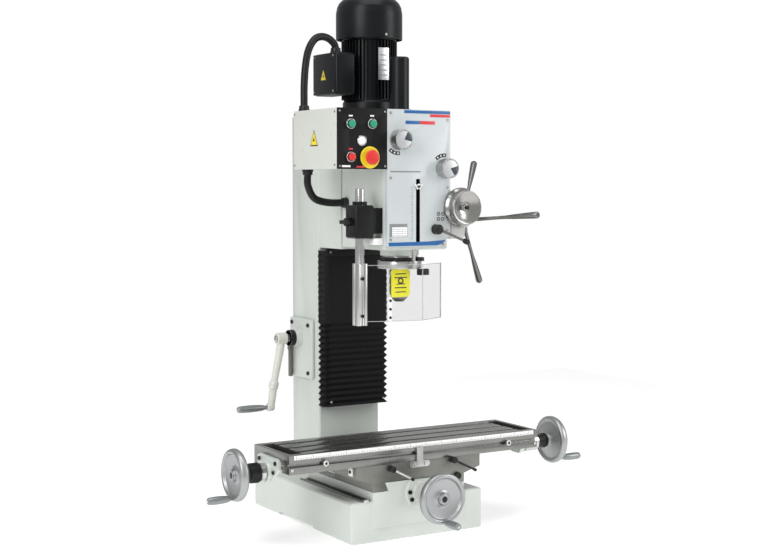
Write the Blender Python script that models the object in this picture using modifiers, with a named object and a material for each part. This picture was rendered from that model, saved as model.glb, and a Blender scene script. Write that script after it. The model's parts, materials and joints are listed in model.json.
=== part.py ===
"""Benchtop milling machine with a geared tilting head on a dovetail column.

Frame: X to the operator's right, Y away from the operator, Z up.  The origin
is the spindle axis dropped onto the bench.  Sizes below are in millimetres
and every helper turns them into metres.
"""
import math

import bmesh
import bpy
from mathutils import Matrix, Vector

MM = 0.001
GAP = 0.3                      # clearance between neighbouring pieces

# ---------------------------------------------------------------- sizes
TABLE_LENGTH = 800
TABLE_FRONT, TABLE_BACK = -107, 103
TABLE_TOP, TABLE_THICK = 263, 51
TABLE_BOTTOM = TABLE_TOP - TABLE_THICK

BASE_HALF = 212
BASE_FRONT, BASE_BACK = -102, 496
BASE_TOP = 114
BASE_WALL = 14
WAY_PAD_TOP, WAY_TOP = 139, 163
WAY_PAD_HALF = 147
WAY_FRONT, WAY_BACK = -107, 270

COLUMN_HALF = 101
COLUMN_FRONT, COLUMN_BACK = 284, 455
COLUMN_TOP = 1172
COLUMN_WALL = 14
COLUMN_WAY_FRONT, COLUMN_WAY_BOTTOM = 264, 318

SLIDE_BOTTOM = 785
SWING_R = 150                  # top of the slide, an arc about the head's pivot
SLIDE_FRONT, SLIDE_BACK = 152, 282

HEAD_HALF = 101
HEAD_FRONT, HEAD_BACK = -90, 147
HEAD_BOTTOM, HEAD_TOP = 790, 1170
PANEL_FRONT = -104
PIVOT_Z = 985                  # head swivel axis
QUILL_R = 37.5
SPINDLE_R = 17

MOTOR_Y, MOTOR_R = 166, 80
MOTOR_BOTTOM, MOTOR_TOP, COWL_TOP = 1183, 1392, 1497
COWL_R = 95

SCREW_R = 10
X_SCREW_Z = 206
Y_SCREW_Z = 128
CRANK_Y, CRANK_Z = 387, 513
WHEEL_R = 70
LEFT_WHEEL_X = -TABLE_LENGTH / 2 - 102
RIGHT_WHEEL_X = TABLE_LENGTH / 2 + 130
FRONT_WHEEL_Y = -220

PINION_Y, PINION_Z, PINION_R, PINION_TEETH = -58, 868, 20, 16
GEAR_MODULE = 4
SPINDLE_TEETH, IDLER_TEETH, MOTOR_TEETH = 25, 21, 16
GEAR_BOTTOM, GEAR_TOP = 1147, 1161
BEVEL_NEAR, BEVEL_FAR = 20, 26  # distances of the bevel teeth from the shafts' meeting point
FINE_X, FINE_Z = HEAD_HALF + 31, 905
GUARD_X, GUARD_Y = -HEAD_HALF - 60, -60

# ------------------------------------------------------------ materials
COLOURS = {
    "cream_paint": ((0.74, 0.77, 0.71), 0.45, 0.0),
    "machined_iron": ((0.36, 0.35, 0.32), 0.4, 0.8),
    "cast_grey": ((0.30, 0.29, 0.26), 0.55, 0.6),
    "bright_steel": ((0.62, 0.62, 0.60), 0.25, 1.0),
    "aluminium": ((0.72, 0.72, 0.70), 0.3, 1.0),
    "black_plastic": ((0.02, 0.02, 0.022), 0.4, 0.0),
    "black_rubber": ((0.012, 0.012, 0.014), 0.75, 0.0),
    "green_plastic": ((0.03, 0.33, 0.12), 0.35, 0.0),
    "red_plastic": ((0.60, 0.02, 0.02), 0.35, 0.0),
    "grey_conduit": ((0.42, 0.44, 0.42), 0.5, 0.0),
    "clear_plastic": ((0.86, 0.88, 0.88), 0.08, 0.0),
    "grey_grip": ((0.33, 0.37, 0.36), 0.35, 0.3),
}


def material(name):
    """The named Principled material, made the first time it is asked for."""
    if name in bpy.data.materials:
        return bpy.data.materials[name]
    colour, roughness, metallic = COLOURS[name]
    made = bpy.data.materials.new(name)
    made.use_nodes = True
    shader = made.node_tree.nodes["Principled BSDF"]
    shader.inputs["Base Color"].default_value = (*colour, 1.0)
    shader.inputs["Roughness"].default_value = roughness
    shader.inputs["Metallic"].default_value = metallic
    made.diffuse_color = (*colour, 1.0)
    return made


# -------------------------------------------------------------- helpers
def clear_scene():
    for thing in list(bpy.data.objects):
        bpy.data.objects.remove(thing, do_unlink=True)


def collection(name):
    made = bpy.data.collections.get(name)
    if made is None:
        made = bpy.data.collections.new(name)
        bpy.context.scene.collection.children.link(made)
    return made


def add_object(name, data, look):
    """Link new object data: a part when it has a look, a cutter when not."""
    thing = bpy.data.objects.new(name, data)
    collection("milling_machine" if look else "cutters").objects.link(thing)
    if look:
        data.materials.append(material(look))
    else:
        thing.hide_render = True
        thing.display_type = "WIRE"
    return thing


def from_bmesh(name, shape, look):
    data = bpy.data.meshes.new(name)
    shape.to_mesh(data)
    shape.free()
    return add_object(name, data, look)


def smooth(thing, angle=40):
    thing.data.shade_smooth()
    thing.data.set_sharp_from_angle(angle=math.radians(angle))
    return thing


def box(name, x, y, z, look=None, bevel=0):
    """A box over three (low, high) ranges, its origin at its centre."""
    shape = bmesh.new()
    size = Vector((x[1] - x[0], y[1] - y[0], z[1] - z[0])) * MM
    bmesh.ops.create_cube(shape, size=1, matrix=Matrix.Diagonal((*size, 1)))
    thing = from_bmesh(name, shape, look)
    thing.location = Vector((sum(x), sum(y), sum(z))) * MM / 2
    if bevel:
        edge = thing.modifiers.new("edges", "BEVEL")
        edge.width = bevel * MM
        edge.segments = 1
    return thing


def aim(direction):
    """The rotation that turns +Z to the direction."""
    return Vector(direction).to_track_quat("Z", "Y").to_euler()


def rod(name, start, end, radius, look=None, sides=16, end_radius=None):
    """A cylinder or cone between two points, its origin at the start."""
    start, end = Vector(start) * MM, Vector(end) * MM
    length = (end - start).length
    shape = bmesh.new()
    bmesh.ops.create_cone(
        shape, cap_ends=True, segments=sides, radius1=radius * MM,
        radius2=(radius if end_radius is None else end_radius) * MM,
        depth=length, matrix=Matrix.Translation((0, 0, length / 2)))
    thing = from_bmesh(name, shape, look)
    thing.location = start
    thing.rotation_euler = aim(end - start)
    return smooth(thing)


def turned(name, profile, at, axis, look=None, sides=24):
    """A turned solid.  The profile lists (radius, height) down its outer side."""
    shape = bmesh.new()
    points = [shape.verts.new((r * MM, 0, h * MM)) for r, h in profile]
    for first, second in zip(points, points[1:]):
        shape.edges.new((first, second))
    if profile[0][0] > 0:
        shape.edges.new((points[-1], points[0]))
    thing = from_bmesh(name, shape, look)
    turn = thing.modifiers.new("turn", "SCREW")
    turn.steps = turn.render_steps = sides
    turn.use_merge_vertices = True
    turn.merge_threshold = 0.00001
    turn.use_smooth_shade = True
    thing.location = Vector(at) * MM
    thing.rotation_euler = aim(axis)
    return thing


def as_mesh(thing, name, look):
    """Turn a curve object into a welded mesh object in the same place."""
    graph = bpy.context.evaluated_depsgraph_get()
    data = bpy.data.meshes.new_from_object(thing.evaluated_get(graph))
    shape = bmesh.new()
    shape.from_mesh(data)
    bmesh.ops.remove_doubles(shape, verts=shape.verts, dist=0.00001)
    shape.to_mesh(data)
    shape.free()
    data.materials.clear()
    place = thing.matrix_world.copy()
    bpy.data.objects.remove(thing, do_unlink=True)
    made = add_object(name, data, look)
    made.matrix_world = place
    return made


PLANES = {
    "XY": Matrix.Identity(4),
    "XZ": Matrix(((1, 0, 0, 0), (0, 0, 1, 0), (0, 1, 0, 0), (0, 0, 0, 1))),
    "YZ": Matrix(((0, 0, 1, 0), (1, 0, 0, 0), (0, 1, 0, 0), (0, 0, 0, 1))),
}


def outline(name, points, plane, depth, look=None):
    """A flat outline in a plane, given thickness over a (low, high) depth."""
    data = bpy.data.curves.new(name, "CURVE")
    data.dimensions = "2D"
    data.fill_mode = "BOTH"
    data.extrude = (depth[1] - depth[0]) / 2 * MM
    line = data.splines.new("POLY")
    line.points.add(len(points) - 1)
    for place, (u, v) in zip(line.points, points):
        place.co = (u * MM, v * MM, 0, 1)
    line.use_cyclic_u = True
    thing = bpy.data.objects.new(name, data)
    bpy.context.scene.collection.objects.link(thing)
    bpy.context.view_layer.update()
    made = as_mesh(thing, name, look)
    turn = PLANES[plane] @ Matrix.Translation((0, 0, sum(depth) / 2 * MM))
    made.data.transform(turn)
    if turn.to_3x3().determinant() < 0:
        made.data.flip_normals()
    return made


def tube(name, points, radius, look, rounds=2):
    """A bent round bar or pipe along the points."""
    data = bpy.data.curves.new(name, "CURVE")
    data.dimensions = "3D"
    data.bevel_depth = radius * MM
    data.bevel_resolution = rounds
    data.use_fill_caps = True
    line = data.splines.new("POLY")
    line.points.add(len(points) - 1)
    for place, point in zip(line.points, points):
        place.co = (*(Vector(point) * MM), 1)
    thing = bpy.data.objects.new(name, data)
    bpy.context.scene.collection.objects.link(thing)
    bpy.context.view_layer.update()
    return smooth(as_mesh(thing, name, look))


def smooth_route(knots, steps=5):
    """Points along a Catmull-Rom curve through the knots."""
    knots = [Vector(k) for k in knots]
    ends = [2 * knots[0] - knots[1], *knots, 2 * knots[-1] - knots[-2]]
    route = []
    for before, start, end, after in zip(ends, ends[1:], ends[2:], ends[3:]):
        for step in range(steps):
            t = step / steps
            route.append(0.5 * (2 * start + (end - before) * t
                                + (2 * before - 5 * start + 4 * end - after) * t * t
                                + (3 * start - before - 3 * end + after) * t ** 3))
    return [*route, knots[-1]]


def boolean(thing, other, operation):
    change = thing.modifiers.new(operation.lower(), "BOOLEAN")
    change.operation = operation
    change.object = other
    return thing


def cut(thing, *cutters):
    for cutter in cutters:
        boolean(thing, cutter, "DIFFERENCE")
    return thing


def join(thing, *others):
    for other in others:
        boolean(thing, other, "UNION")
    return thing


def gear_outline(radius, teeth, depth):
    """Straight-flanked teeth: root, tip, tip, root for each one."""
    points = []
    for tooth in range(teeth):
        for share, reach in ((0.06, -depth), (0.3, 0), (0.6, 0), (0.84, -depth)):
            angle = math.tau * (tooth + share) / teeth
            points.append(((radius + reach) * math.cos(angle),
                           (radius + reach) * math.sin(angle)))
    return points


def hinge_at(things, at, name):
    """Hang pieces from an empty on their joint's axis."""
    pivot = bpy.data.objects.new(name, None)
    collection("milling_machine").objects.link(pivot)
    pivot.location = Vector(at) * MM
    bpy.context.view_layer.update()
    for thing in things:
        place = thing.matrix_world.copy()
        thing.parent = pivot
        thing.matrix_world = place


# ----------------------------------------------------------------- base
def dovetail(narrow, wide, low, high):
    """A trapezium outline, wide side up."""
    return [(-narrow, low), (narrow, low), (wide, high), (-wide, high)]


def build_base():
    """Hollow casting, open underneath, with the cross ways on top."""
    base = box("base_casting", (-BASE_HALF, BASE_HALF), (BASE_FRONT, BASE_BACK),
               (0, BASE_TOP), "cream_paint", bevel=5)
    pad = box("way_pad", (-WAY_PAD_HALF, WAY_PAD_HALF), (WAY_FRONT, WAY_BACK),
              (40, WAY_PAD_TOP))
    way = outline("cross_way", dovetail(99, 110, WAY_PAD_TOP - 1, WAY_TOP), "XZ",
                  (WAY_FRONT, WAY_BACK))
    join(base, pad, way)
    inner = BASE_HALF - BASE_WALL
    bays = ((BASE_FRONT + BASE_WALL, -25), (25, 262), (276, BASE_BACK - BASE_WALL))
    for index, (front, back) in enumerate(bays):
        cut(base, box(f"base_hollow_{index}", (-inner, inner), (front, back),
                      (-5, BASE_TOP - BASE_WALL)))
    cut(base, box("screw_trough", (-16, 16), (WAY_FRONT - 5, WAY_BACK + 5),
                  (Y_SCREW_Z - 13, WAY_TOP + 5)))
    cut(base, box("lifting_notch", (-BASE_HALF - 5, -BASE_HALF + 30), (120, 330),
                  (-5, 9)))


def build_column():
    """Hollow column, open at its foot, with a front dovetail split for the nut."""
    column = box("column", (-COLUMN_HALF, COLUMN_HALF), (COLUMN_FRONT, COLUMN_BACK),
                 (BASE_TOP + GAP, COLUMN_TOP), "cream_paint", bevel=4)
    way = outline("column_way", [(-64, COLUMN_FRONT + 2), (64, COLUMN_FRONT + 2),
                                 (76, COLUMN_WAY_FRONT), (-76, COLUMN_WAY_FRONT)], "XY",
                  (COLUMN_WAY_BOTTOM, COLUMN_TOP - 6))
    join(column, way)
    inner = COLUMN_HALF - COLUMN_WALL
    cut(column,
        box("column_hollow", (-inner, inner),
            (COLUMN_FRONT + COLUMN_WALL + 6, COLUMN_BACK - COLUMN_WALL),
            (BASE_TOP - 10, COLUMN_TOP - COLUMN_WALL)),
        box("nut_slot", (-22, 22), (COLUMN_WAY_FRONT - 10, COLUMN_FRONT + 60),
            (COLUMN_WAY_BOTTOM + 60, COLUMN_TOP - 40)),
        rod("crank_hole", (-COLUMN_HALF - 20, CRANK_Y, CRANK_Z),
            (-COLUMN_HALF + 30, CRANK_Y, CRANK_Z), 22))


def build_bellows():
    """Closed outer shape of the way cover, as a channel around the dovetail."""
    cover = box("z_bellows", (-106, 106), (234, 283.4), (320, 779), "black_rubber")
    cut(cover, box("bellows_hollow", (-101, 101), (239, 300), (310, 800)))


# ---------------------------------------------------------- cross slide
def handwheel(name, at, axis, radius):
    """Dished handwheel: a rolled rim, a cone web and a hub, face along the axis."""
    return turned(name, [
        (8, 14), (14, 14), (15, 6), (26, 2), (0.8 * radius, 8), (0.84 * radius, 14),
        (0.92 * radius, 15), (radius, 8), (radius, -3), (0.93 * radius, -8),
        (0.8 * radius, -2), (26, -12), (18, -16), (18, -26), (8, -26)],
        at, axis, "aluminium", sides=22)


def grip(name, at, axis, look="grey_grip", length=68):
    """Barrel-shaped revolving grip on its pin."""
    return turned(name, [
        (0, length), (7, length), (10, length - 4), (11, 0.55 * length), (9, 8),
        (6, 6), (6, GAP), (0, GAP)], at, axis, look, sides=12)


def build_y_drive():
    """Front bracket, screw, dial and handwheel that move the saddle."""
    bracket = turned("y_screw_bracket", [
        (SCREW_R + 1, 24), (29, 24), (30, 10), (46, 10), (48, 8), (48, 0),
        (SCREW_R + 1, 0)], (0, WAY_FRONT - GAP, Y_SCREW_Z), (0, -1, 0),
        "cream_paint", sides=28)
    cut(bracket, box("bracket_flat", (-60, 60), (-140, -100), (WAY_TOP - 0.5, 200)))
    middle = (0, FRONT_WHEEL_Y, Y_SCREW_Z)
    screw = turned("y_screw", [
        (0, 12), (7.5, 12), (7.5, -27), (24, -27), (27, -31), (27, -60), (24, -62),
        (SCREW_R, -62), (SCREW_R, -460), (0, -460)], middle, (0, -1, 0),
        "bright_steel", sides=16)
    wheel = handwheel("y_handwheel", middle, (0, -1, 0), WHEEL_R)
    handle = grip("y_handwheel_grip", (0, FRONT_WHEEL_Y - 15, Y_SCREW_Z - 0.88 * WHEEL_R),
                  (0, -1, 0))
    hinge_at([screw, wheel, handle], middle, "y_screw_axis")


def lock_lever(name, hub, tip, look="black_plastic"):
    """A clamping hub on the saddle's front with a thin handle."""
    lever = rod(name, (hub[0], hub[1] - GAP, hub[2]), (hub[0], hub[1] - 24, hub[2]), 9, look)
    return join(lever, rod(name + "_bar", (hub[0], hub[1] - 16, hub[2]), tip, 3.5, sides=10))


def build_saddle():
    """Saddle with a female dovetail below, a male one above, and both nuts."""
    top = TABLE_BOTTOM - GAP
    saddle = outline("saddle", [
        (-200, top), (-200, 179), (-147, WAY_TOP), (-147, WAY_PAD_TOP + GAP),
        (-101, WAY_PAD_TOP + GAP), (-112, WAY_TOP + 1), (112, WAY_TOP + 1),
        (101, WAY_PAD_TOP + GAP), (147, WAY_PAD_TOP + GAP), (147, WAY_TOP),
        (200, 179), (200, top)], "XZ", (TABLE_FRONT, -TABLE_FRONT), "cast_grey")
    way = outline("table_way", [(-60, top - 1), (60, top - 1), (70, 231), (-70, 231)],
                  "YZ", (-200, 200))
    nut = box("y_nut", (-14, 14), (60, 105), (Y_SCREW_Z - 11, WAY_TOP + 6))
    join(saddle, way, nut)
    cut(saddle, rod("y_nut_bore", (0, 40, Y_SCREW_Z), (0, 120, Y_SCREW_Z), SCREW_R + 0.5),
        rod("x_nut_bore", (-60, 0, X_SCREW_Z), (60, 0, X_SCREW_Z), SCREW_R + 0.5))
    for side in (-1, 1):
        ends = sorted((side * 30, side * 210))
        cut(saddle, box(f"x_trough_{side}", ends, (-15, 15), (X_SCREW_Z - 14, 240)))
    front = TABLE_FRONT
    left = lock_lever("saddle_lock_lever_left", (-95, front, 200), (-38, front - 33, 168))
    right = lock_lever("saddle_lock_lever_right", (104, front, 206), (166, front - 33, 174))
    hinge_at([left], (-95, front, 200), "left_lock_axis")
    hinge_at([right], (104, front, 206), "right_lock_axis")
    stop = outline("table_stop_bracket", [
        (-29, 196), (25, 196), (30, 201), (30, 209), (25, 213), (8, 213), (8, 250),
        (-12, 250), (-12, 213), (-29, 213), (-34, 209), (-34, 201)], "XZ",
        (front - 7, front - GAP), "aluminium")
    return stop


def build_table():
    """T-slotted table with end troughs, a stop groove and a dovetail below."""
    half, floor = TABLE_LENGTH / 2, TABLE_TOP - 20
    table = outline("table", [
        (TABLE_FRONT, TABLE_TOP), (TABLE_FRONT, 239.5), (TABLE_FRONT + 9, 239.5),
        (TABLE_FRONT + 9, 230.5), (TABLE_FRONT, 230.5), (TABLE_FRONT, TABLE_BOTTOM),
        (-61, TABLE_BOTTOM), (-72, 232), (72, 232), (61, TABLE_BOTTOM),
        (TABLE_BACK, TABLE_BOTTOM), (TABLE_BACK, TABLE_TOP)], "YZ", (-half, half),
        "machined_iron")
    for index, y in enumerate((-62, -2, 58)):
        cut(table, outline(f"t_slot_{index}", [
            (y - 7, TABLE_TOP + 2), (y - 7, floor + 9), (y - 12, floor + 9),
            (y - 12, floor), (y + 12, floor), (y + 12, floor + 9), (y + 7, floor + 9),
            (y + 7, TABLE_TOP + 2)], "YZ", (12 - half, half - 12)))
    for side in (-1, 1):
        ends = sorted((side * (half - 12), side * (half - 48)))
        cut(table, box(f"trough_{side}", ends, (-88, 84), (floor - 2, TABLE_TOP + 5)))
    for side, name in ((-1, "stop_dog_left"), (1, "stop_dog_right")):
        dog = turned(name, [(0, 10), (7, 10), (8, 9), (8, GAP), (3.6, GAP), (3.6, -8),
                            (0, -8)], (side * 295, TABLE_FRONT, 235), (0, -1, 0),
                     "bright_steel", sides=12)
        hinge_at([dog], (side * 295, TABLE_FRONT, 235), name + "_slide")


def screw_bracket(name, side):
    """Cast end bracket that carries the table screw."""
    face = side * (TABLE_LENGTH / 2 + GAP)
    depth = sorted((face, face + side * 9))
    bracket = outline(name, [
        (-48, 246), (-62, 236), (-60, 219), (-30, 195), (-18, 180), (18, 180),
        (30, 195), (62, 222), (64, 240), (50, 248)], "YZ", depth, "cream_paint")
    boss = rod(name + "_boss", (face + side, 0, X_SCREW_Z),
               (face + side * 20, 0, X_SCREW_Z), 27, sides=24)
    join(bracket, boss)
    reach = sorted((face - side * 5, face + side * 30))
    return cut(bracket, rod(name + "_bore", (reach[0], 0, X_SCREW_Z),
                            (reach[1], 0, X_SCREW_Z), SCREW_R + 1))


def build_x_drive():
    """Table screw with a handwheel at each end."""
    screw_bracket("left_screw_bracket", -1)
    screw_bracket("right_screw_bracket", 1)
    left, right = LEFT_WHEEL_X, RIGHT_WHEEL_X
    boss = TABLE_LENGTH / 2 + 24
    ring = -boss - 13
    screw = turned("x_screw", [
        (0, right + 12), (7.5, right + 12), (7.5, right - 27), (18, right - 27),
        (18, boss + 46), (27, boss + 44), (27, boss), (SCREW_R, boss),
        (SCREW_R, -boss), (24, -boss), (24, ring), (7.5, ring), (7.5, left - 12),
        (0, left - 12)], (0, 0, X_SCREW_Z), (1, 0, 0), "bright_steel", sides=16)
    dial = turned("left_dial", [
        (8, ring - GAP), (25, ring - GAP), (27, ring - 3), (27, ring - 29),
        (24, ring - 31), (8, ring - 31)],
        (0, 0, X_SCREW_Z), (1, 0, 0), "black_plastic", sides=24)
    pieces = [screw, dial]
    for name, x, side in (("left", left, -1), ("right", right, 1)):
        pieces.append(handwheel(f"{name}_handwheel", (x, 0, X_SCREW_Z), (side, 0, 0), WHEEL_R))
    low = X_SCREW_Z - 0.88 * WHEEL_R
    pieces.append(grip("left_handwheel_grip", (left - 15, 0, low), (-1, 0, 0)))
    pieces.append(grip("right_handwheel_grip", (right + 15, -0.5 * WHEEL_R,
                                                X_SCREW_Z - 0.72 * WHEEL_R), (1, 0, 0)))
    hinge_at(pieces, (0, 0, X_SCREW_Z), "x_screw_axis")


# ------------------------------------------------------- column elevation
def bevel_gear(name, teeth, near, far, low, high, look):
    """Tapered teeth along Z: radius `near` at the low end, `far` at the high."""
    gear = outline(name, gear_outline(near - 0.4, teeth, 5), "XY", (low, high), look)
    for vertex in gear.data.vertices:
        if vertex.co.z > (low + high) / 2 * MM:
            vertex.co.x *= far / near
            vertex.co.y *= far / near
    return gear


def build_z_drive():
    """Hand crank, bevel pair and upright screw that raise the head."""
    near, far = BEVEL_NEAR, BEVEL_FAR
    place = Matrix.Translation(Vector((0, CRANK_Y, CRANK_Z)) * MM)
    screw = bevel_gear("z_screw", 24, 2 * near, 2 * far, near, far, "bright_steel")
    screw.matrix_world = place
    stem = rod("z_screw_stem", (0, CRANK_Y, CRANK_Z + near + 1),
               (0, CRANK_Y, COLUMN_TOP - COLUMN_WALL - 6), SCREW_R)
    join(screw, stem)

    shaft = bevel_gear("crank_shaft", 12, near, far, 2 * near, 2 * far, "bright_steel")
    shaft.matrix_world = place @ Matrix.Rotation(-math.pi / 2, 4, "Y")
    bar = rod("crank_shaft_bar", (-2 * near - 1, CRANK_Y, CRANK_Z),
              (-186, CRANK_Y, CRANK_Z), SCREW_R)
    dial = rod("crank_dial", (-134, CRANK_Y, CRANK_Z), (-150, CRANK_Y, CRANK_Z), 24, sides=20)
    join(shaft, bar, dial)

    plate = box("crank_gear_plate", (-112, -COLUMN_HALF - GAP), (312, 452), (394, 571),
                "cream_paint", bevel=3)
    boss = rod("crank_boss", (-111, CRANK_Y, CRANK_Z), (-133, CRANK_Y, CRANK_Z), 26, sides=20)
    join(plate, boss)
    cut(plate, rod("crank_bore", (-90, CRANK_Y, CRANK_Z), (-140, CRANK_Y, CRANK_Z),
                   SCREW_R + 1))

    arm = rod("crank_arm", (-158, CRANK_Y, CRANK_Z), (-190, CRANK_Y, CRANK_Z), 17,
              "cream_paint", sides=20)
    upper = rod("crank_upper", (-170, CRANK_Y, CRANK_Z - 6), (-200, CRANK_Y, 372), 12,
                end_radius=10)
    knuckle = rod("crank_knuckle", (-196, CRANK_Y, 388), (-203, CRANK_Y, 362), 14.5)
    lower = rod("crank_lower", (-200, CRANK_Y, 372), (-211, CRANK_Y, 306), 11)
    foot = rod("crank_foot", (-198, CRANK_Y, 311), (-222, CRANK_Y, 311), 12)
    join(arm, upper, knuckle, lower, foot)
    cut(arm, rod("arm_bore", (-150, CRANK_Y, CRANK_Z), (-187, CRANK_Y, CRANK_Z),
                 SCREW_R + GAP))
    handle = grip("crank_grip", (-222, CRANK_Y, 311), (-1, 0, 0), length=96)
    hinge_at([shaft, arm, handle], (-134, CRANK_Y, CRANK_Z), "crank_axis")
    hinge_at([screw], (0, CRANK_Y, CRANK_Z), "z_screw_axis")

    lever = rod("z_lock_lever", (-112 - GAP, 436, 478), (-124, 436, 478), 9, "cast_grey")
    join(lever, box("z_lock_bar", (-122, -114), (429, 443), (392, 478)))
    hinge_at([lever], (-112, 436, 478), "z_lock_axis")


def build_slide():
    """Head slide: an open-bottomed casting on the column's dovetail."""
    reach = math.asin(HEAD_HALF / SWING_R)
    arc = [(SWING_R * math.sin(a), PIVOT_Z + SWING_R * math.cos(a))
           for a in (reach * (1 - i / 5) for i in range(11))]
    slide = outline("z_slide", [(-HEAD_HALF, SLIDE_BOTTOM), (HEAD_HALF, SLIDE_BOTTOM),
                                *arc], "XZ", (SLIDE_FRONT, SLIDE_BACK), "cream_paint")
    groove = outline("slide_groove", [(-65, SLIDE_BACK + 3), (65, SLIDE_BACK + 3),
                                      (78, COLUMN_WAY_FRONT - 1),
                                      (-78, COLUMN_WAY_FRONT - 1)], "XY",
                     (SLIDE_BOTTOM - 5, PIVOT_Z + SWING_R + 5))
    hollow = box("slide_hollow", (15 - HEAD_HALF, HEAD_HALF - 15),
                 (SLIDE_FRONT + 14, COLUMN_WAY_FRONT - 16), (SLIDE_BOTTOM - 5, 1080))
    cut(slide, groove, hollow)
    arm = box("nut_arm", (-16, 16), (COLUMN_WAY_FRONT - 10, CRANK_Y + 20), (1050, 1086))
    join(slide, arm)
    cut(slide, rod("z_nut_bore", (0, CRANK_Y, 1040), (0, CRANK_Y, 1100), SCREW_R + 0.5))


# ------------------------------------------------------------------ head
def build_head():
    """Open-fronted gear casing with the quill sleeve and a motor shelf."""
    head = box("head_casting", (-HEAD_HALF, HEAD_HALF), (HEAD_FRONT, HEAD_BACK),
               (HEAD_BOTTOM, HEAD_TOP), "cream_paint", bevel=4)
    shelf = box("motor_shelf", (-60, 60), (HEAD_BACK - 5, 250), (PIVOT_Z + SWING_R + 6,
                                                                HEAD_TOP))
    swivel = rod("swivel_boss", (0, HEAD_BACK - 2, PIVOT_Z), (0, SLIDE_FRONT - GAP, PIVOT_Z),
                 88, sides=32)
    join(head, shelf, swivel)
    cut(head,
        box("head_hollow", (12 - HEAD_HALF, HEAD_HALF - 12), (HEAD_FRONT - 10, HEAD_BACK - 12),
            (HEAD_BOTTOM + 12, HEAD_TOP - 6)),
        box("shelf_hollow", (-52, 52), (HEAD_BACK - 20, 242),
            (PIVOT_Z + SWING_R + 10, HEAD_TOP - 6)))
    join(head, rod("quill_sleeve", (0, 0, 772), (0, 0, 905), 54, sides=32))
    cut(head,
        rod("quill_bore", (0, 0, 760), (0, 0, 920), QUILL_R + 0.5, sides=32),
        box("rack_keyway", (11, 33), (-43, -20), (760, 920)),
        box("pinion_window", (8, 36), (-84, -30), (PINION_Z - 24, PINION_Z + 24)),
        rod("pinion_bore", (HEAD_HALF - 21, PINION_Y, PINION_Z),
            (HEAD_HALF + 19, PINION_Y, PINION_Z), 9),
        rod("sleeve_pinion_bore", (20, PINION_Y, PINION_Z), (80, PINION_Y, PINION_Z), 9),
        rod("drawbar_hole", (0, 0, HEAD_TOP - 15), (0, 0, HEAD_TOP + 5), 22),
        rod("motor_hole", (0, MOTOR_Y, HEAD_TOP - 15), (0, MOTOR_Y, HEAD_TOP + 5), 36),
        rod("gland_hole", (-HEAD_HALF - 19, 120, 917), (21 - HEAD_HALF, 120, 917), 9),
        box("pointer_slot", (-10, 2), (-88, -74), (HEAD_BOTTOM - 5, HEAD_BOTTOM + 17)))

    panel = outline("front_panel", [
        (-HEAD_HALF, HEAD_TOP), (-HEAD_HALF, 800), (HEAD_HALF - 31, 800), (HEAD_HALF, 830),
        (HEAD_HALF, HEAD_TOP)], "XZ", (PANEL_FRONT, HEAD_FRONT - GAP), "cream_paint")
    cut(panel,
        box("depth_slot", (-10, 2), (-120, -80), (812, 983)),
        rod("upper_knob_hole", (-68, -120, 1088), (-68, -80, 1088), 8.5),
        rod("lower_knob_hole", (80, -120, 1012), (80, -80, 1012), 8.5))
    for name, x, z in (("speed_knob_upper", -68, 1088), ("speed_knob_lower", 80, 1012)):
        knob = turned(name, [
            (0, 36), (24, 36), (27, 33), (25, 14), (27, 2), (27, GAP), (8, GAP),
            (8, -30), (0, -30)], (x, PANEL_FRONT, z), (0, -1, 0), "black_plastic",
            sides=20)
        hinge_at([knob], (x, PANEL_FRONT, z), name + "_axis")


def build_gear_train():
    """Motor pinion, idler and splined drive sleeve, with teeth cut short."""
    def wheel(name, teeth, at, bore=None, look="bright_steel"):
        radius = GEAR_MODULE * teeth / 2
        gear = outline(name, gear_outline(radius - GAP, teeth, 6), "XY",
                       (GEAR_BOTTOM, GEAR_TOP), look)
        gear.location = Vector((at[0], at[1], 0)) * MM
        if bore:
            cut(gear, rod(name + "_bore", (*at, 1100), (*at, 1200), bore))
        return gear
    idler_y = GEAR_MODULE * (SPINDLE_TEETH + IDLER_TEETH) / 2
    wheel("drive_sleeve", SPINDLE_TEETH, (0, 0), bore=SPINDLE_R + 0.4)
    idler = wheel("idler_gear", IDLER_TEETH, (0, idler_y))
    hinge_at([idler], (0, idler_y, GEAR_BOTTOM), "idler_axis")
    rotor = wheel("motor_rotor", MOTOR_TEETH, (0, MOTOR_Y))
    join(rotor,
         rod("rotor_shaft", (0, MOTOR_Y, GEAR_BOTTOM + 2), (0, MOTOR_Y, 1430), 10),
         rod("rotor_core", (0, MOTOR_Y, 1215), (0, MOTOR_Y, 1350), 46, sides=20),
         rod("rotor_fan", (0, MOTOR_Y, 1412), (0, MOTOR_Y, 1424), 72, sides=24))
    hinge_at([rotor], (0, MOTOR_Y, GEAR_BOTTOM), "rotor_axis")


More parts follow.
